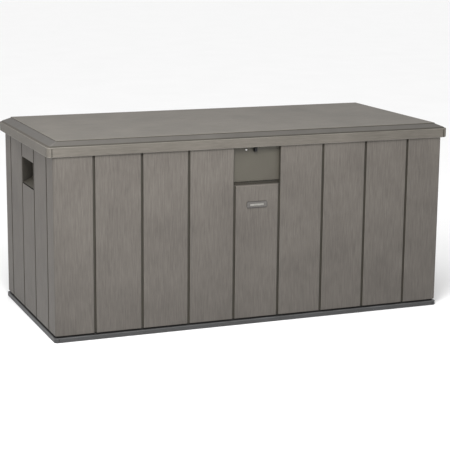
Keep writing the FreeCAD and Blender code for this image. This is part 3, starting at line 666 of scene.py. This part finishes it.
def endWall(side):
    # made for the right-hand end, then turned over for the left
    half = 1.5 * sidePitch - wall["grooveWide"] / 2
    tongue = halfBody - wall["lapLip"] - pocket["tongueFit"]
    corners = [(inX, endLow.y, 0), (tongue, endLow.y, 0), (tongue, bodyMid - half, 0),
               (halfBody, bodyMid - half, wall["edge"])]
    corners += grooveCorners(sideGrooves, halfBody, -1, False)
    corners += [(halfBody, bodyMid + half, wall["edge"]), (tongue, bodyMid + half, 0), (tongue, endHigh.y, 0),
                (inX, endHigh.y, 0)]
    piece = pieceFrom("rightEndWall" if side > 0 else "leftEndWall",
                      drawnOut(filletOutline(corners), 2, foot, wallTop))
    carve(piece, pocketMesh(pocket["skin"], 0), "UNION")
    carve(piece, pocketMesh(0, over))
    halfPocket = sidePitch / 2 - wall["grooveWide"] / 2 + pocket["overlap"]
    slitLow = pocket["low"] - pocket["slit"]
    slitX, slitTop, slitEdge = halfBody - wall["grooveDeep"], pocket["low"] + mm, pocket["slitEdge"]
    slit = [(slitX, slitTop, 0), (slitX, slitLow, 0), (halfBody, slitLow, slitEdge),
            (halfBody, slitLow - slitEdge, 0), (halfBody + over, slitLow - slitEdge, 0),
            (halfBody + over, slitTop, 0)]
    carve(piece, drawnOut(filletOutline(slit), 1, bodyMid - halfPocket, bodyMid + halfPocket))
    places = [(y, z) for y in plankCentres(bodyMid - half, sideGrooves, bodyMid + half) for z in tackRows()
              if abs(y - bodyMid) > sidePitch / 2 or z + tack["tall"] / 2 < pocket["low"] - pocket["clear"]]
    carve(piece, tackOffs(places, 0, inX, 1))
    if side < 0:
        bm = bmesh.new()
        bm.from_mesh(piece.data)
        bmesh.ops.scale(bm, vec=(-1, 1, 1), verts=bm.verts)
        bmesh.ops.recalc_face_normals(bm, faces=bm.faces)
        bm.to_mesh(piece.data)
        bm.free()

    def choose(centre, normal):
        # 0 grained outside, 1 smooth pocket floor, 2 painted shade in the grooves and on the pocket's upper
        # and side walls, 3 inside, 4 near-black painted shade in the gap under the pocket
        depth = halfBody - abs(centre.x)
        inWidth = abs(centre.y - bodyMid) < halfPocket + 0.1 * mm
        inPocket = inWidth and slitLow < centre.z < pocket["high"] + 0.1 * mm
        if inPocket and 0.5 * mm < depth < pocket["deep"] + 0.1 * mm:
            # the gap under the pocket is painted near-black and the pocket's upper and side walls darker, as
            # shade
            if centre.z < pocket["low"] + 0.1 * mm:
                return 4
            if normal.x * side > -0.01 or depth < wall["thick"] - mm:
                return 1 if normal.z > 0.3 else 2
            return 3
        if 0.1 * mm < depth < wall["grooveDeep"] + 0.1 * mm:
            if abs(centre.y - bodyMid) > half - wall["edge"] or inGroove(centre.y, sideGrooves):
                return 2
        return 0 if depth < wall["thick"] / 2 else 3

    dress(piece, [wallGrain, wallSmooth, groovePaintedShade, insideSmooth, gapPaintedShade], choose)
    return settle(piece, "cabinet", "walls", "right_panel" if side > 0 else "left_panel")


base = {
    "rim": 17 * mm,
    "corner": 12 * mm,
    "edge": 2.5 * mm,
    "neck": 7 * mm,
    "neckInset": 13 * mm,
    "deckInset": 26.4 * mm,
    "columns": 14,
    "rows": 6,
    "lineInset": 16 * mm,
    "lineWide": 3 * mm,
    "lineDeep": 1.5 * mm,
    "deckEdge": 2 * mm,
    "cellMarginX": 20 * mm,
    "cellMarginY": 12 * mm,
    "cellHalf": 34 * mm,
    "cellDeep": 9 * mm,
    "cellRound": 16 * mm,
    "cellEdge": 5 * mm,
    "screwWell": 6 * mm,
}


def floorTray():
    rim, neckTop, deck = base["rim"], base["rim"] + base["neck"], floorHigh.z
    neck, inner = base["neckInset"], base["deckInset"]
    profile = filletOutline([(30 * mm, 0, 0), (0, 0, base["edge"]), (0, rim, base["edge"]), (neck, rim, 0),
                             (neck, neckTop, 0), (inner, neckTop, 0), (inner, deck, base["deckEdge"]),
                             (60 * mm, deck, 0)], 3)
    halfX, halfY = (floorHigh.x - floorLow.x) / 2, (floorHigh.y - floorLow.y) / 2
    piece = pieceFrom("floorTray", ringStack(halfX, halfY, bodyMid, base["corner"], profile))
    reachX, reachY = inX - base["cellMarginX"], (inBack - inFront) / 2 - base["cellMarginY"]
    half, bottom = base["cellHalf"], deck - base["cellDeep"]
    tools = [dimple((x - half, y - half, bottom), (x + half, y + half, deck + over), 2, bottom,
                    base["cellRound"], 4, base["cellEdge"])
             for x, y in gridPlaces(base["columns"], base["rows"], reachX, reachY, bodyMid)]
    carve(piece, meshFrom(tools))
    lines = []
    for side in (-1, 1):
        x = side * (floorHigh.x - base["lineInset"])
        lines.append(blockMesh((x - base["lineWide"] / 2, floorLow.y - over, -over),
                               (x + base["lineWide"] / 2, floorLow.y + base["lineDeep"], rim - base["edge"])))
    for low, high in solidBoxes("floor_screws"):
        x, y = (low.x + high.x) / 2, (low.y + high.y) / 2
        lines.append(rodMesh((x, y, -over), (x, y, low.z + screw["headTall"]), base["screwWell"]))
    carve(piece, meshFrom(lines))
    dress(piece, [baseSmooth, gapPaintedShade], lambda centre, normal: 1 if isBaseShadow(centre) else 0)
    return settle(piece, "cabinet", "base", "floor_panel")


def gridPlaces(columns, rows, halfX, halfY, middleY):
    # centres of equal cells
    return [((2 * i + 1 - columns) * halfX / columns, middleY + (2 * j + 1 - rows) * halfY / rows)
            for i in range(columns) for j in range(rows)]


# the corner lines and the shadow gap under the walls, painted near-black as shade
def isBaseShadow(centre):
    onLine = abs(abs(centre.x) - floorHigh.x + base["lineInset"]) < 1.4 * mm
    neck = base["rim"] + 0.5 * mm < centre.z < foot - 0.5 * mm
    return onLine and centre.y < floorLow.y + 2 * mm or neck


lid = {
    "skirt": 34 * mm,
    "recess": 20 * mm,
    "corner": 14 * mm,
    "bevelRise": 16 * mm,
    "crownRise": 3 * mm,
    "insetSide": 38.5 * mm,
    "insetFront": 28 * mm,
    "edge": 2 * mm,
    "crownEdge": 1.4 * mm,
    "skirtEdge": 3.5 * mm,
    "seam": 5 * mm,             # shallow line where the sloping band leaves the skirt
    "seamDeep": 1.2 * mm,
    "lineDrop": 4 * mm,
    "gap": 1.5 * mm,
    "notchGap": 2 * mm,
    "springBay": 36 * mm,
    "cavityRound": 4 * mm,
    "boreRadius": 4.1 * mm,
    "boreInset": 8 * mm,
    "capRadius": 6.6 * mm,
    "capDeep": 9 * mm,
}
lidTack = {                     # dimples on the lid's underside
    "columns": 12,
    "rows": 3,
    "margin": 20 * mm,
    "fromChannel": 6 * mm,
    "halfX": 44 * mm,
    "halfY": 46 * mm,
    "deep": 12 * mm,
    "round": 20 * mm,
    "edge": 6 * mm,
}
ledgeZ = lidHigh.z - lid["crownRise"] - lid["bevelRise"]
skirtZ = ledgeZ - lid["skirt"]
undersideZ = skirtZ + lid["recess"]


def lidOuter():
    # skirt, sloping band and raised crown in one closed profile
    crownFoot = lidHigh.z - lid["crownRise"]
    inset, edge, seam = lid["insetFront"], lid["edge"], lid["seam"]
    seamTop = ledgeZ + lid["bevelRise"] * (edge + seam) / inset
    profile = filletOutline([(20 * mm, skirtZ, 0), (0, skirtZ, lid["skirtEdge"]), (0, ledgeZ, edge),
                             (edge + seam / 2, ledgeZ + lid["seamDeep"] / 2, 0), (edge + seam, seamTop, 0),
                             (inset, crownFoot, 0), (inset, lidHigh.z, lid["crownEdge"]),
                             (inset + 40 * mm, lidHigh.z, 0)], 4)
    return ringStack(cadHigh.x, cadHigh.y, 0, lid["corner"], profile, lid["insetSide"] / inset)


def lidPanel():
    piece = pieceFrom("lidPanel", lidOuter())
    x1 = halfBody + lid["gap"]
    front = bodyFront - lid["gap"]
    barFront = hinge.y - knuckle["radius"]
    cavity = [(front, skirtZ - over, 0), (barFront, skirtZ - over, 0), (barFront, undersideZ, 0),
              (front, undersideZ, lid["cavityRound"])]
    carve(piece, drawnOut(filletOutline(cavity), 0, -x1, x1))
    # off the axis, so that no cutter's face lies along the rod's own edges
    belowAxis = hinge.z - 0.5 * mm
    carve(piece, blockMesh((-x1, barFront - hair, skirtZ - over), (x1, cadHigh.y + over, belowAxis)))
    bar = rodMesh((-x1, hinge.y, hinge.z), (x1, hinge.y, hinge.z), knuckle["radius"] - 0.02 * mm, 48)
    carve(piece, bar, "UNION")
    radius = knuckle["radius"] + lid["gap"]
    outer = knucklePlaces()[-1]
    half = knuckle["width"] / 2 + lid["notchGap"]
    for x in knucklePlaces():
        # the outermost notches run on inward to make room for the springs
        notchLow = x - half - (lid["springBay"] if abs(x - outer) < mm else 0)
        notchHigh = x + half + (lid["springBay"] if abs(x + outer) < mm else 0)
        carve(piece, rodMesh((notchLow, hinge.y, hinge.z), (notchHigh, hinge.y, hinge.z), radius, 48))
        carve(piece, blockMesh((notchLow, hinge.y - radius, skirtZ - 2 * radius),
                               (notchHigh, cadHigh.y + over, belowAxis)))
    boreLow, boreHigh = cadLow.x + lid["boreInset"], cadHigh.x - lid["boreInset"]
    carve(piece, rodMesh((boreLow, hinge.y, hinge.z), (boreHigh, hinge.y, hinge.z), lid["boreRadius"]))
    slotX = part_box("right_lid_spring")[0].x + spring["wire"]
    for side in (-1, 1):
        start = Vector((side * (cadHigh.x - lid["capDeep"]), hinge.y, hinge.z))
        carve(piece, rodMesh(start, start + Vector((side * 20 * mm, 0, 0)), lid["capRadius"]))
        x, y = side * (cadHigh.x - base["lineInset"]), cadLow.y + base["lineInset"]
        half, deep, high = base["lineWide"] / 2, base["lineDeep"], ledgeZ - lid["lineDrop"]
        carve(piece, blockMesh((x - half, cadLow.y - over, skirtZ - over), (x + half, cadLow.y + deep, high)))
        x0, x1 = sorted((side * (cadHigh.x - deep), side * (cadHigh.x + over)))
        carve(piece, blockMesh((x0, y - half, skirtZ - over), (x1, y + half, high)))
        x = side * slotX
        carve(piece, blockMesh((x - spring["slotHalf"], hinge.y - spring["slotLong"], undersideZ - over),
                               (x + spring["slotHalf"], hinge.y, hinge.z + spring["slotTall"])))
    carve(piece, lidTackOffs())
    dress(piece, [lidGrain, skirtGrainPaintedShade, lidSmooth, insideSmooth, groovePaintedShade], lidFinish)
    return settle(piece, "lid", "lid", "lid_panel", "lid_skirt")


def lidTackOffs():
    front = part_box("front_lid_channel")[1].y + lidTack["fromChannel"]
    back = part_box("rear_lid_channel")[0].y - lidTack["fromChannel"]
    halfX, halfY, top = lidTack["halfX"], lidTack["halfY"], undersideZ + lidTack["deep"]
    places = gridPlaces(lidTack["columns"], lidTack["rows"], inX - lidTack["margin"], (back - front) / 2,
                        (back + front) / 2)
    return meshFrom([dimple((x - halfX, y - halfY, undersideZ - over), (x + halfX, y + halfY, top), 2, top,
                            lidTack["round"], 5, lidTack["edge"]) for x, y in places])


def lidFinish(centre, normal):
    # 0 top grain, 1 skirt grain darkened as painted shade, 2 smooth bevel, 3 underside, 4 dark line painted
    # as shade, which fades out at the ends
    inside = abs(centre.x) < halfBody + 2 * mm and bodyFront - 2 * mm < centre.y < hinge.y
    if inside and centre.z < lidHigh.z - 8 * mm:
        return 3
    fromEnd, fromFront = cadHigh.x - abs(centre.x), centre.y - cadLow.y
    if centre.z < ledgeZ - 3 * mm and 0.1 * mm < min(fromEnd, fromFront) < base["lineDeep"] + 0.1 * mm:
        if abs(max(fromEnd, fromFront) - base["lineInset"]) < base["lineWide"]:
            return 4
    if centre.z > lidHigh.z - 0.8 * mm:
        return 0
    atEnd = abs(normal.x) > abs(normal.y)
    if centre.z > lidHigh.z - lid["crownRise"]:
        return 2 if atEnd else 4
    if centre.z < ledgeZ - 0.1 * mm:
        return 1
    return 4 if min(fromFront, cadHigh.y - centre.y) < lid["edge"] + lid["seam"] else 2


# Hardware

channel = {"flange": 13 * mm, "thick": 1.5 * mm, "slope": 2.75 * mm, "edge": 0.6 * mm}


def hatChannel(name, node):
    # pressed channel: the section drawn once and pushed along X
    low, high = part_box(node)
    thick, slope = channel["thick"], channel["slope"]
    a, b = low.y + channel["flange"], high.y - channel["flange"]
    outline = [(low.y, high.z), (low.y, high.z - thick), (a, high.z - thick), (a + slope, low.z),
               (b - slope, low.z), (b, high.z - thick), (high.y, high.z - thick), (high.y, high.z),
               (b - thick, high.z), (b - slope - thick, low.z + thick), (a + slope + thick, low.z + thick),
               (a + thick, high.z)]
    bm = drawnOut(outline, 0, low.x, high.x)
    long = [e for e in edgesWhere(bm, lambda co: co.z < high.z - 0.01 * mm, 30) if e.calc_length() > 1]
    bevelEdges(bm, long, channel["edge"], 2)
    piece = pieceFrom(name, bm)
    dress(piece, [channelCoat])
    return settle(piece, "lid", "channel_steel", node)


screw = {
    "head": 4.2 * mm,
    "headTall": 2.4 * mm,
    "shank": 2.2 * mm,
    "point": 4.4 * mm,
    "tip": 0.5 * mm,
    "driveReach": 1.5 * mm,
    "driveSlot": 0.35 * mm,
    "driveFloor": 1.2 * mm,
}


def turned(profile, centre, steps):
    # (radius, z) points spun about the upright through centre
    bm = bmesh.new()
    verts = [bm.verts.new((centre.x + r, centre.y, z)) for r, z in profile]
    edges = [bm.edges.new((verts[i], verts[i + 1])) for i in range(len(verts) - 1)]
    bmesh.ops.spin(bm, geom=verts + edges, cent=centre, axis=(0, 0, 1), angle=2 * math.pi, steps=steps,
                   use_merge=True)
    bmesh.ops.remove_doubles(bm, verts=bm.verts, dist=0.01 * mm)
    bmesh.ops.recalc_face_normals(bm, faces=bm.faces)
    return bm


def screwPiece(length):
    # pan head with a crossed drive recess, pointing down from its seat at the origin
    head, tall, shank = screw["head"], screw["headTall"], screw["shank"]
    profile = [(0, tall), (head * 0.38, tall), (head * 0.74, tall * 0.87), (head * 0.95, tall / 2),
               (head, 0), (shank, 0), (shank, screw["point"] - length), (screw["tip"], -length), (0, -length)]
    piece = pieceFrom("screw", turned(profile, Vector((0, 0, 0)), 16))
    reach, slot, low = screw["driveReach"], screw["driveSlot"], screw["driveFloor"]
    carve(piece, blockMesh((-reach, -slot, low), (reach, slot, tall + over)))
    return carve(piece, blockMesh((-slot, -reach, low), (slot, reach, tall + over)))


def screwGroup(name, node, body, direction, length):
    # one screw per separate solid of the CAD node; a sideways direction points outwards at both ends
    single = screwPiece(length)
    tall = screw["headTall"]
    whole = bmesh.new()
    for low, high in solidBoxes(node):
        way = Vector(direction)
        if way.x and low.x < 0:
            way = -way
        seat = (low + high) / 2
        for axis in range(3):
            if abs(way[axis]) > 0.5:
                seat[axis] = low[axis] + tall if way[axis] > 0 else high[axis] - tall
        turn = (-way).to_track_quat("Z", "Y").to_matrix().to_4x4()
        copy = single.data.copy()
        copy.transform(Matrix.Translation(seat) @ turn @ Matrix.Rotation(seat.x * 37 + seat.y * 53, 4, "Z"))
        whole.from_mesh(copy)
        bpy.data.meshes.remove(copy)
    bpy.data.objects.remove(single)
    piece = pieceFrom(name, whole)
    dress(piece, [zincPlate], angle=40)
    return settle(piece, body, "zinc", node)


def solidBoxes(node):
    # corners of each separate solid in a CAD node
    bm = bmesh.new()
    bm.from_mesh(frame["nodes"][node].data)
    bmesh.ops.remove_doubles(bm, verts=bm.verts, dist=0.002 * mm)
    waiting = set(bm.verts)
    boxes = []
    while waiting:
        group, edge = set(), [waiting.pop()]
        while edge:
            vert = edge.pop()
            group.add(vert)
            near = [e.other_vert(vert) for e in vert.link_edges]
            fresh = [v for v in near if v in waiting]
            waiting.difference_update(fresh)
            edge += fresh
        low = Vector([min(v.co[i] for v in group) for i in range(3)])
        high = Vector([max(v.co[i] for v in group) for i in range(3)])
        boxes.append((low, high))
    bm.free()
    return sorted(boxes, key=lambda b: tuple(round(c, 5) for c in b[0]))


def lidSpring(name, node, side):
    # close-wound coil about the hinge rod, a leg down the wall and a leg under the lid
    low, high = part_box(node)
    wire, coil = spring["wire"], spring["coil"]
    legBody = (high.x if side > 0 else low.x) - side * wire
    legLid = (low.x if side > 0 else high.x) + side * wire
    # quarter turn more than whole turns: starts towards the wall, ends on top
    turns = spring["turns"] + 0.25
    steps = int(spring["turns"] * spring["steps"] + spring["steps"] / 4)
    bm = bmesh.new()
    ring = bmesh.ops.create_circle(bm, cap_ends=False, segments=10, radius=wire)["verts"]
    # the ring faces down the first leg, at the coil's front
    bmesh.ops.translate(bm, vec=(legBody, hinge.y - coil, hinge.z), verts=ring)
    start = list(bm.edges)
    bmesh.ops.spin(bm, geom=ring + start, cent=(legBody, hinge.y, hinge.z), axis=(1, 0, 0),
                   dvec=((legLid - legBody) / steps, 0, 0), angle=-turns * 2 * math.pi, steps=steps,
                   use_merge=False)
    rims = [e for e in bm.edges if len(e.link_faces) == 1]
    first = [e for e in rims if all(abs(v.co.z - hinge.z) < 2e-5 and v.co.y < hinge.y for v in e.verts)]
    last = [e for e in rims if e not in first]
    down = bmesh.ops.extrude_edge_only(bm, edges=first)["geom"]
    bmesh.ops.translate(bm, vec=(0, 0, low.z - hinge.z), verts=vertsIn(down))
    on = bmesh.ops.extrude_edge_only(bm, edges=last)["geom"]
    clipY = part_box("spring_lid_clips")[0].y
    fall = hinge.z + coil - undersideZ - wire - 0.4 * mm
    bmesh.ops.translate(bm, vec=(0, clipY - hinge.y, -fall), verts=vertsIn(on))
    bmesh.ops.holes_fill(bm, edges=[e for e in bm.edges if len(e.link_faces) == 1])
    piece = pieceFrom(name, bm)
    dress(piece, [springWire], angle=60)
    start, end = Vector((legBody - side * 2 * wire, 0, 0)), Vector((legLid + side * 2 * wire, 0, 0))
    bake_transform(piece)
    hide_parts(node)
    print("made", name, len(piece.data.polygons), "faces")
    return piece


def platePiece(name, node, body):
    # the CAD plate with its edges broken
    bm = bmesh.new()
    bm.from_mesh(frame["nodes"][node].data)
    bmesh.ops.remove_doubles(bm, verts=bm.verts, dist=0.002 * mm)
    bmesh.ops.dissolve_limit(bm, angle_limit=math.radians(1), verts=bm.verts, edges=bm.edges)
    bevelEdges(bm, edgesWhere(bm, lambda co: True, 50), lock["edge"], 2)
    piece = pieceFrom(name, bm)
    dress(piece, [blackCoat], angle=40)
    return settle(piece, body, "black_steel", node)


bolt = {"shank": 2.5 * mm, "chamfer": 0.5 * mm, "brim": 0.1 * mm, "steps": 32}


def domedBolt():
    # low domed head that stands on the recess face, and a shank through the wall
    low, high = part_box("lock_bolt")
    centre = (low + high) / 2
    radius = (high.x - low.x) / 2
    rise = recessFace - low.y
    shank, reach, chamfer = bolt["shank"], high.y - recessFace, bolt["chamfer"]
    profile = [(0, -rise), (radius * 0.45, -rise * 0.9), (radius * 0.8, -rise * 0.58),
               (radius, -bolt["brim"]), (radius, 0.0), (shank, 0.0), (shank, reach - chamfer),
               (shank - chamfer, reach), (0, reach)]
    bm = bmesh.new()
    verts = [bm.verts.new((centre.x + r, recessFace + y, centre.z)) for r, y in profile]
    edges = [bm.edges.new((verts[i], verts[i + 1])) for i in range(len(verts) - 1)]
    bmesh.ops.spin(bm, geom=verts + edges, cent=(centre.x, 0, centre.z), axis=(0, 1, 0), angle=2 * math.pi,
                   steps=bolt["steps"], use_merge=True)
    bmesh.ops.remove_doubles(bm, verts=bm.verts, dist=0.01 * mm)
    piece = pieceFrom("lockBoltDome", bm)
    dress(piece, [brightSteel], angle=50)
    return settle(piece, "cabinet", "bright_steel", "lock_bolt")


badge = {
    "corner": 5 * mm,
    "rim": 1.8 * mm,
    "sunk": 0.9 * mm,
    "edge": 0.3 * mm,
    "barLong": 52 * mm,
    "barTall": 7 * mm,
}


def blankBadge():
    # dark badge with a raised rim and one plain satin bar, no lettering
    low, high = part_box("blank_badge")
    bm = blockMesh(low, high)
    sides = [e for e in bm.edges if abs(e.verts[0].co.y - e.verts[1].co.y) > mm]
    bevelEdges(bm, sides, badge["corner"], 6)
    front = min(bm.faces, key=lambda f: f.calc_center_median().y)
    bmesh.ops.inset_region(bm, faces=[front], thickness=badge["rim"], use_even_offset=True)
    front = min(bm.faces, key=lambda f: (round(f.calc_center_median().y, 6), -f.calc_area()))
    bmesh.ops.translate(bm, vec=(0, badge["sunk"], 0), verts=front.verts)
    bevelEdges(bm, edgesWhere(bm, lambda co: co.y < low.y + 0.01 * mm, 20), badge["edge"], 2)
    middle, reach = (low + high) / 2, Vector((badge["barLong"], 0, badge["barTall"])) / 2
    bar = blockMesh((middle.x - reach.x, low.y + 0.1 * mm, middle.z - reach.z),
                    (middle.x + reach.x, low.y + badge["sunk"] + 0.1 * mm, middle.z + reach.z))
    bevelEdges(bar, bar.edges, badge["edge"], 2)
    piece = pieceFrom("blankBadge", meshFrom([bm, bar]))

    def choose(centre, normal):
        # 0 dark rim, 1 sunk field, 2 bar
        across, upright = abs(centre.x - middle.x), abs(centre.z - middle.z)
        onBar = across < reach.x + 0.1 * mm and upright < reach.z + 0.1 * mm
        if onBar and centre.y < low.y + badge["sunk"] - 0.1 * mm:
            return 2
        return 1 if normal.y < -0.9 and centre.y > low.y + badge["sunk"] - 0.1 * mm else 0

    dress(piece, [badgeDark, badgeField, badgeBar], choose)
    return settle(piece, "cabinet", "badge", "blank_badge")


bumper = {"radius": 6 * mm, "stem": 2.5 * mm, "tall": 3.7 * mm, "steps": 24}


def bumpers():
    parts = []
    radius = bumper["radius"]
    for low, high in solidBoxes("lid_bumpers"):
        top, seat = high.z, high.z - bumper["tall"]
        profile = [(0, top), (radius * 0.57, top - 0.2 * mm), (radius * 0.87, top - mm),
                   (radius, top - 2.2 * mm), (radius, seat), (bumper["stem"], seat), (bumper["stem"], low.z),
                   (0, low.z)]
        parts.append(turned(profile, (low + high) / 2, bumper["steps"]))
    piece = pieceFrom("lidBumpers", meshFrom(parts))
    dress(piece, [bumperRubber], angle=50)
    return settle(piece, "cabinet", "rubber", "lid_bumpers")


# Camera, floor and light

view = {
    "sensor": 36,
    "lens": 112.5,
    "place": (-1.9542, -4.8533, 1.402),
    "turn": (22.107, -11.95, 0.545),        # yaw, pitch and roll in degrees
}
lights = {
    "room": 0.7,                # strength of the white all round
    "softboxes": (((-0.9, -1.85, 2.05), (-0.1, -0.3, 0.5), 1.0, 54),
                  ((-4.5, -1.0, 2.2), (-0.7, 0, 0.4), 2.0, 22)),     # place, aim, size, watts
    "sky": 1.15,
    "skySpread": 40,
    "skyFrom": (-0.8, -1.6, 3.0),
}


def hang(lamp, place, aim):
    light = bpy.data.objects.new(lamp.name, lamp)
    light.location = place
    light.visible_camera = False
    light.rotation_mode = "QUATERNION"
    light.rotation_quaternion = (Vector(aim) - Vector(place)).to_track_quat("-Z", "Y")
    bpy.context.scene.collection.objects.link(light)


def studio():
    camera = bpy.data.objects.new("camera", bpy.data.cameras.new("camera"))
    camera.data.sensor_width = view["sensor"]
    camera.data.lens = view["lens"]
    camera.data.clip_end = 100
    yaw, pitch, roll = (math.radians(a) for a in view["turn"])
    ahead = Vector((math.sin(yaw) * math.cos(pitch), math.cos(yaw) * math.cos(pitch), math.sin(pitch)))
    right = Vector((math.cos(yaw), -math.sin(yaw), 0))
    up = right.cross(ahead)
    side = right * math.cos(roll) + up * math.sin(roll)
    above = up * math.cos(roll) - right * math.sin(roll)
    turn = Matrix((side, above, -ahead)).transposed().to_4x4()
    camera.matrix_world = Matrix.Translation(view["place"]) @ turn
    bpy.context.scene.collection.objects.link(camera)
    bpy.context.scene.camera = camera

    bm = bmesh.new()
    bmesh.ops.create_grid(bm, x_segments=1, y_segments=1, size=30)
    floor = pieceFrom("studioFloor", bm)
    material = newMaterial("paleFloor")
    speck = stretchedNoise(material, [0.4] * 3)
    colour = shades(material, speck, "fafafa", "f6f6f6")
    finishMaterial(material, colour, speck, (0.75, 0.85), speck, 0.01 * mm, {})
    floor.data.materials.append(material)

    world = bpy.data.worlds.new("studio")
    bpy.context.scene.world = world
    world.use_nodes = True
    world.node_tree.nodes["Background"].inputs["Color"].default_value = (1, 1, 1, 1)
    world.node_tree.nodes["Background"].inputs["Strength"].default_value = lights["room"]
    for place, aim, size, watts in lights["softboxes"]:
        lamp = bpy.data.lights.new("softbox", "AREA")
        lamp.shape, lamp.size, lamp.energy = "DISK", size, watts
        hang(lamp, place, aim)
    lamp = bpy.data.lights.new("skylight", "SUN")
    lamp.angle, lamp.energy = math.radians(lights["skySpread"]), lights["sky"]
    hang(lamp, lights["skyFrom"], (0, 0, 0))
    bpy.context.scene.view_settings.view_transform = "Standard"


studio()
print("camera and light set")
frontWall()
backWall()
endWall(-1)
endWall(1)
floorTray()
lidPanel()
hatChannel("frontLidChannel", "front_lid_channel")
hatChannel("rearLidChannel", "rear_lid_channel")
lidSpring("leftLidSpring", "left_lid_spring", -1)
lidSpring("rightLidSpring", "right_lid_spring", 1)
domedBolt()
blankBadge()
bumpers()
platePiece("lockEyePlate", "lock_eye", "cabinet")
platePiece("lockTabPlate", "lock_tab", "lid")
upwards = (0, 0, 1)
screwGroup("floorScrewSet", "floor_screws", "cabinet", upwards, 36 * mm)
screwGroup("wallClipScrewSet", "wall_clip_screws", "cabinet", (0, 1, 0), 14 * mm)
screwGroup("lidClipScrewSet", "lid_clip_screws", "lid", upwards, 13 * mm)
screwGroup("lockTabScrewSet", "lock_tab_screws", "lid", upwards, 13 * mm)
screwGroup("frontChannelScrewSet", "front_channel_screws", "lid", upwards, 13 * mm)
screwGroup("rearChannelScrewSet", "rear_channel_screws", "lid", upwards, 13 * mm)
screwGroup("panelLapScrewSet", "panel_lap_screws", "cabinet", (1, 0, 0), 19 * mm)

for node, material in (("hinge_rod", zincPlate), ("hinge_rod_caps", lidSmooth), ("lock_nut", zincPlate),
                       ("spring_wall_clips", zincPlate), ("spring_lid_clips", zincPlate)):
    mesh = frame["nodes"][node].data
    mesh.materials.clear()
    mesh.materials.append(material)
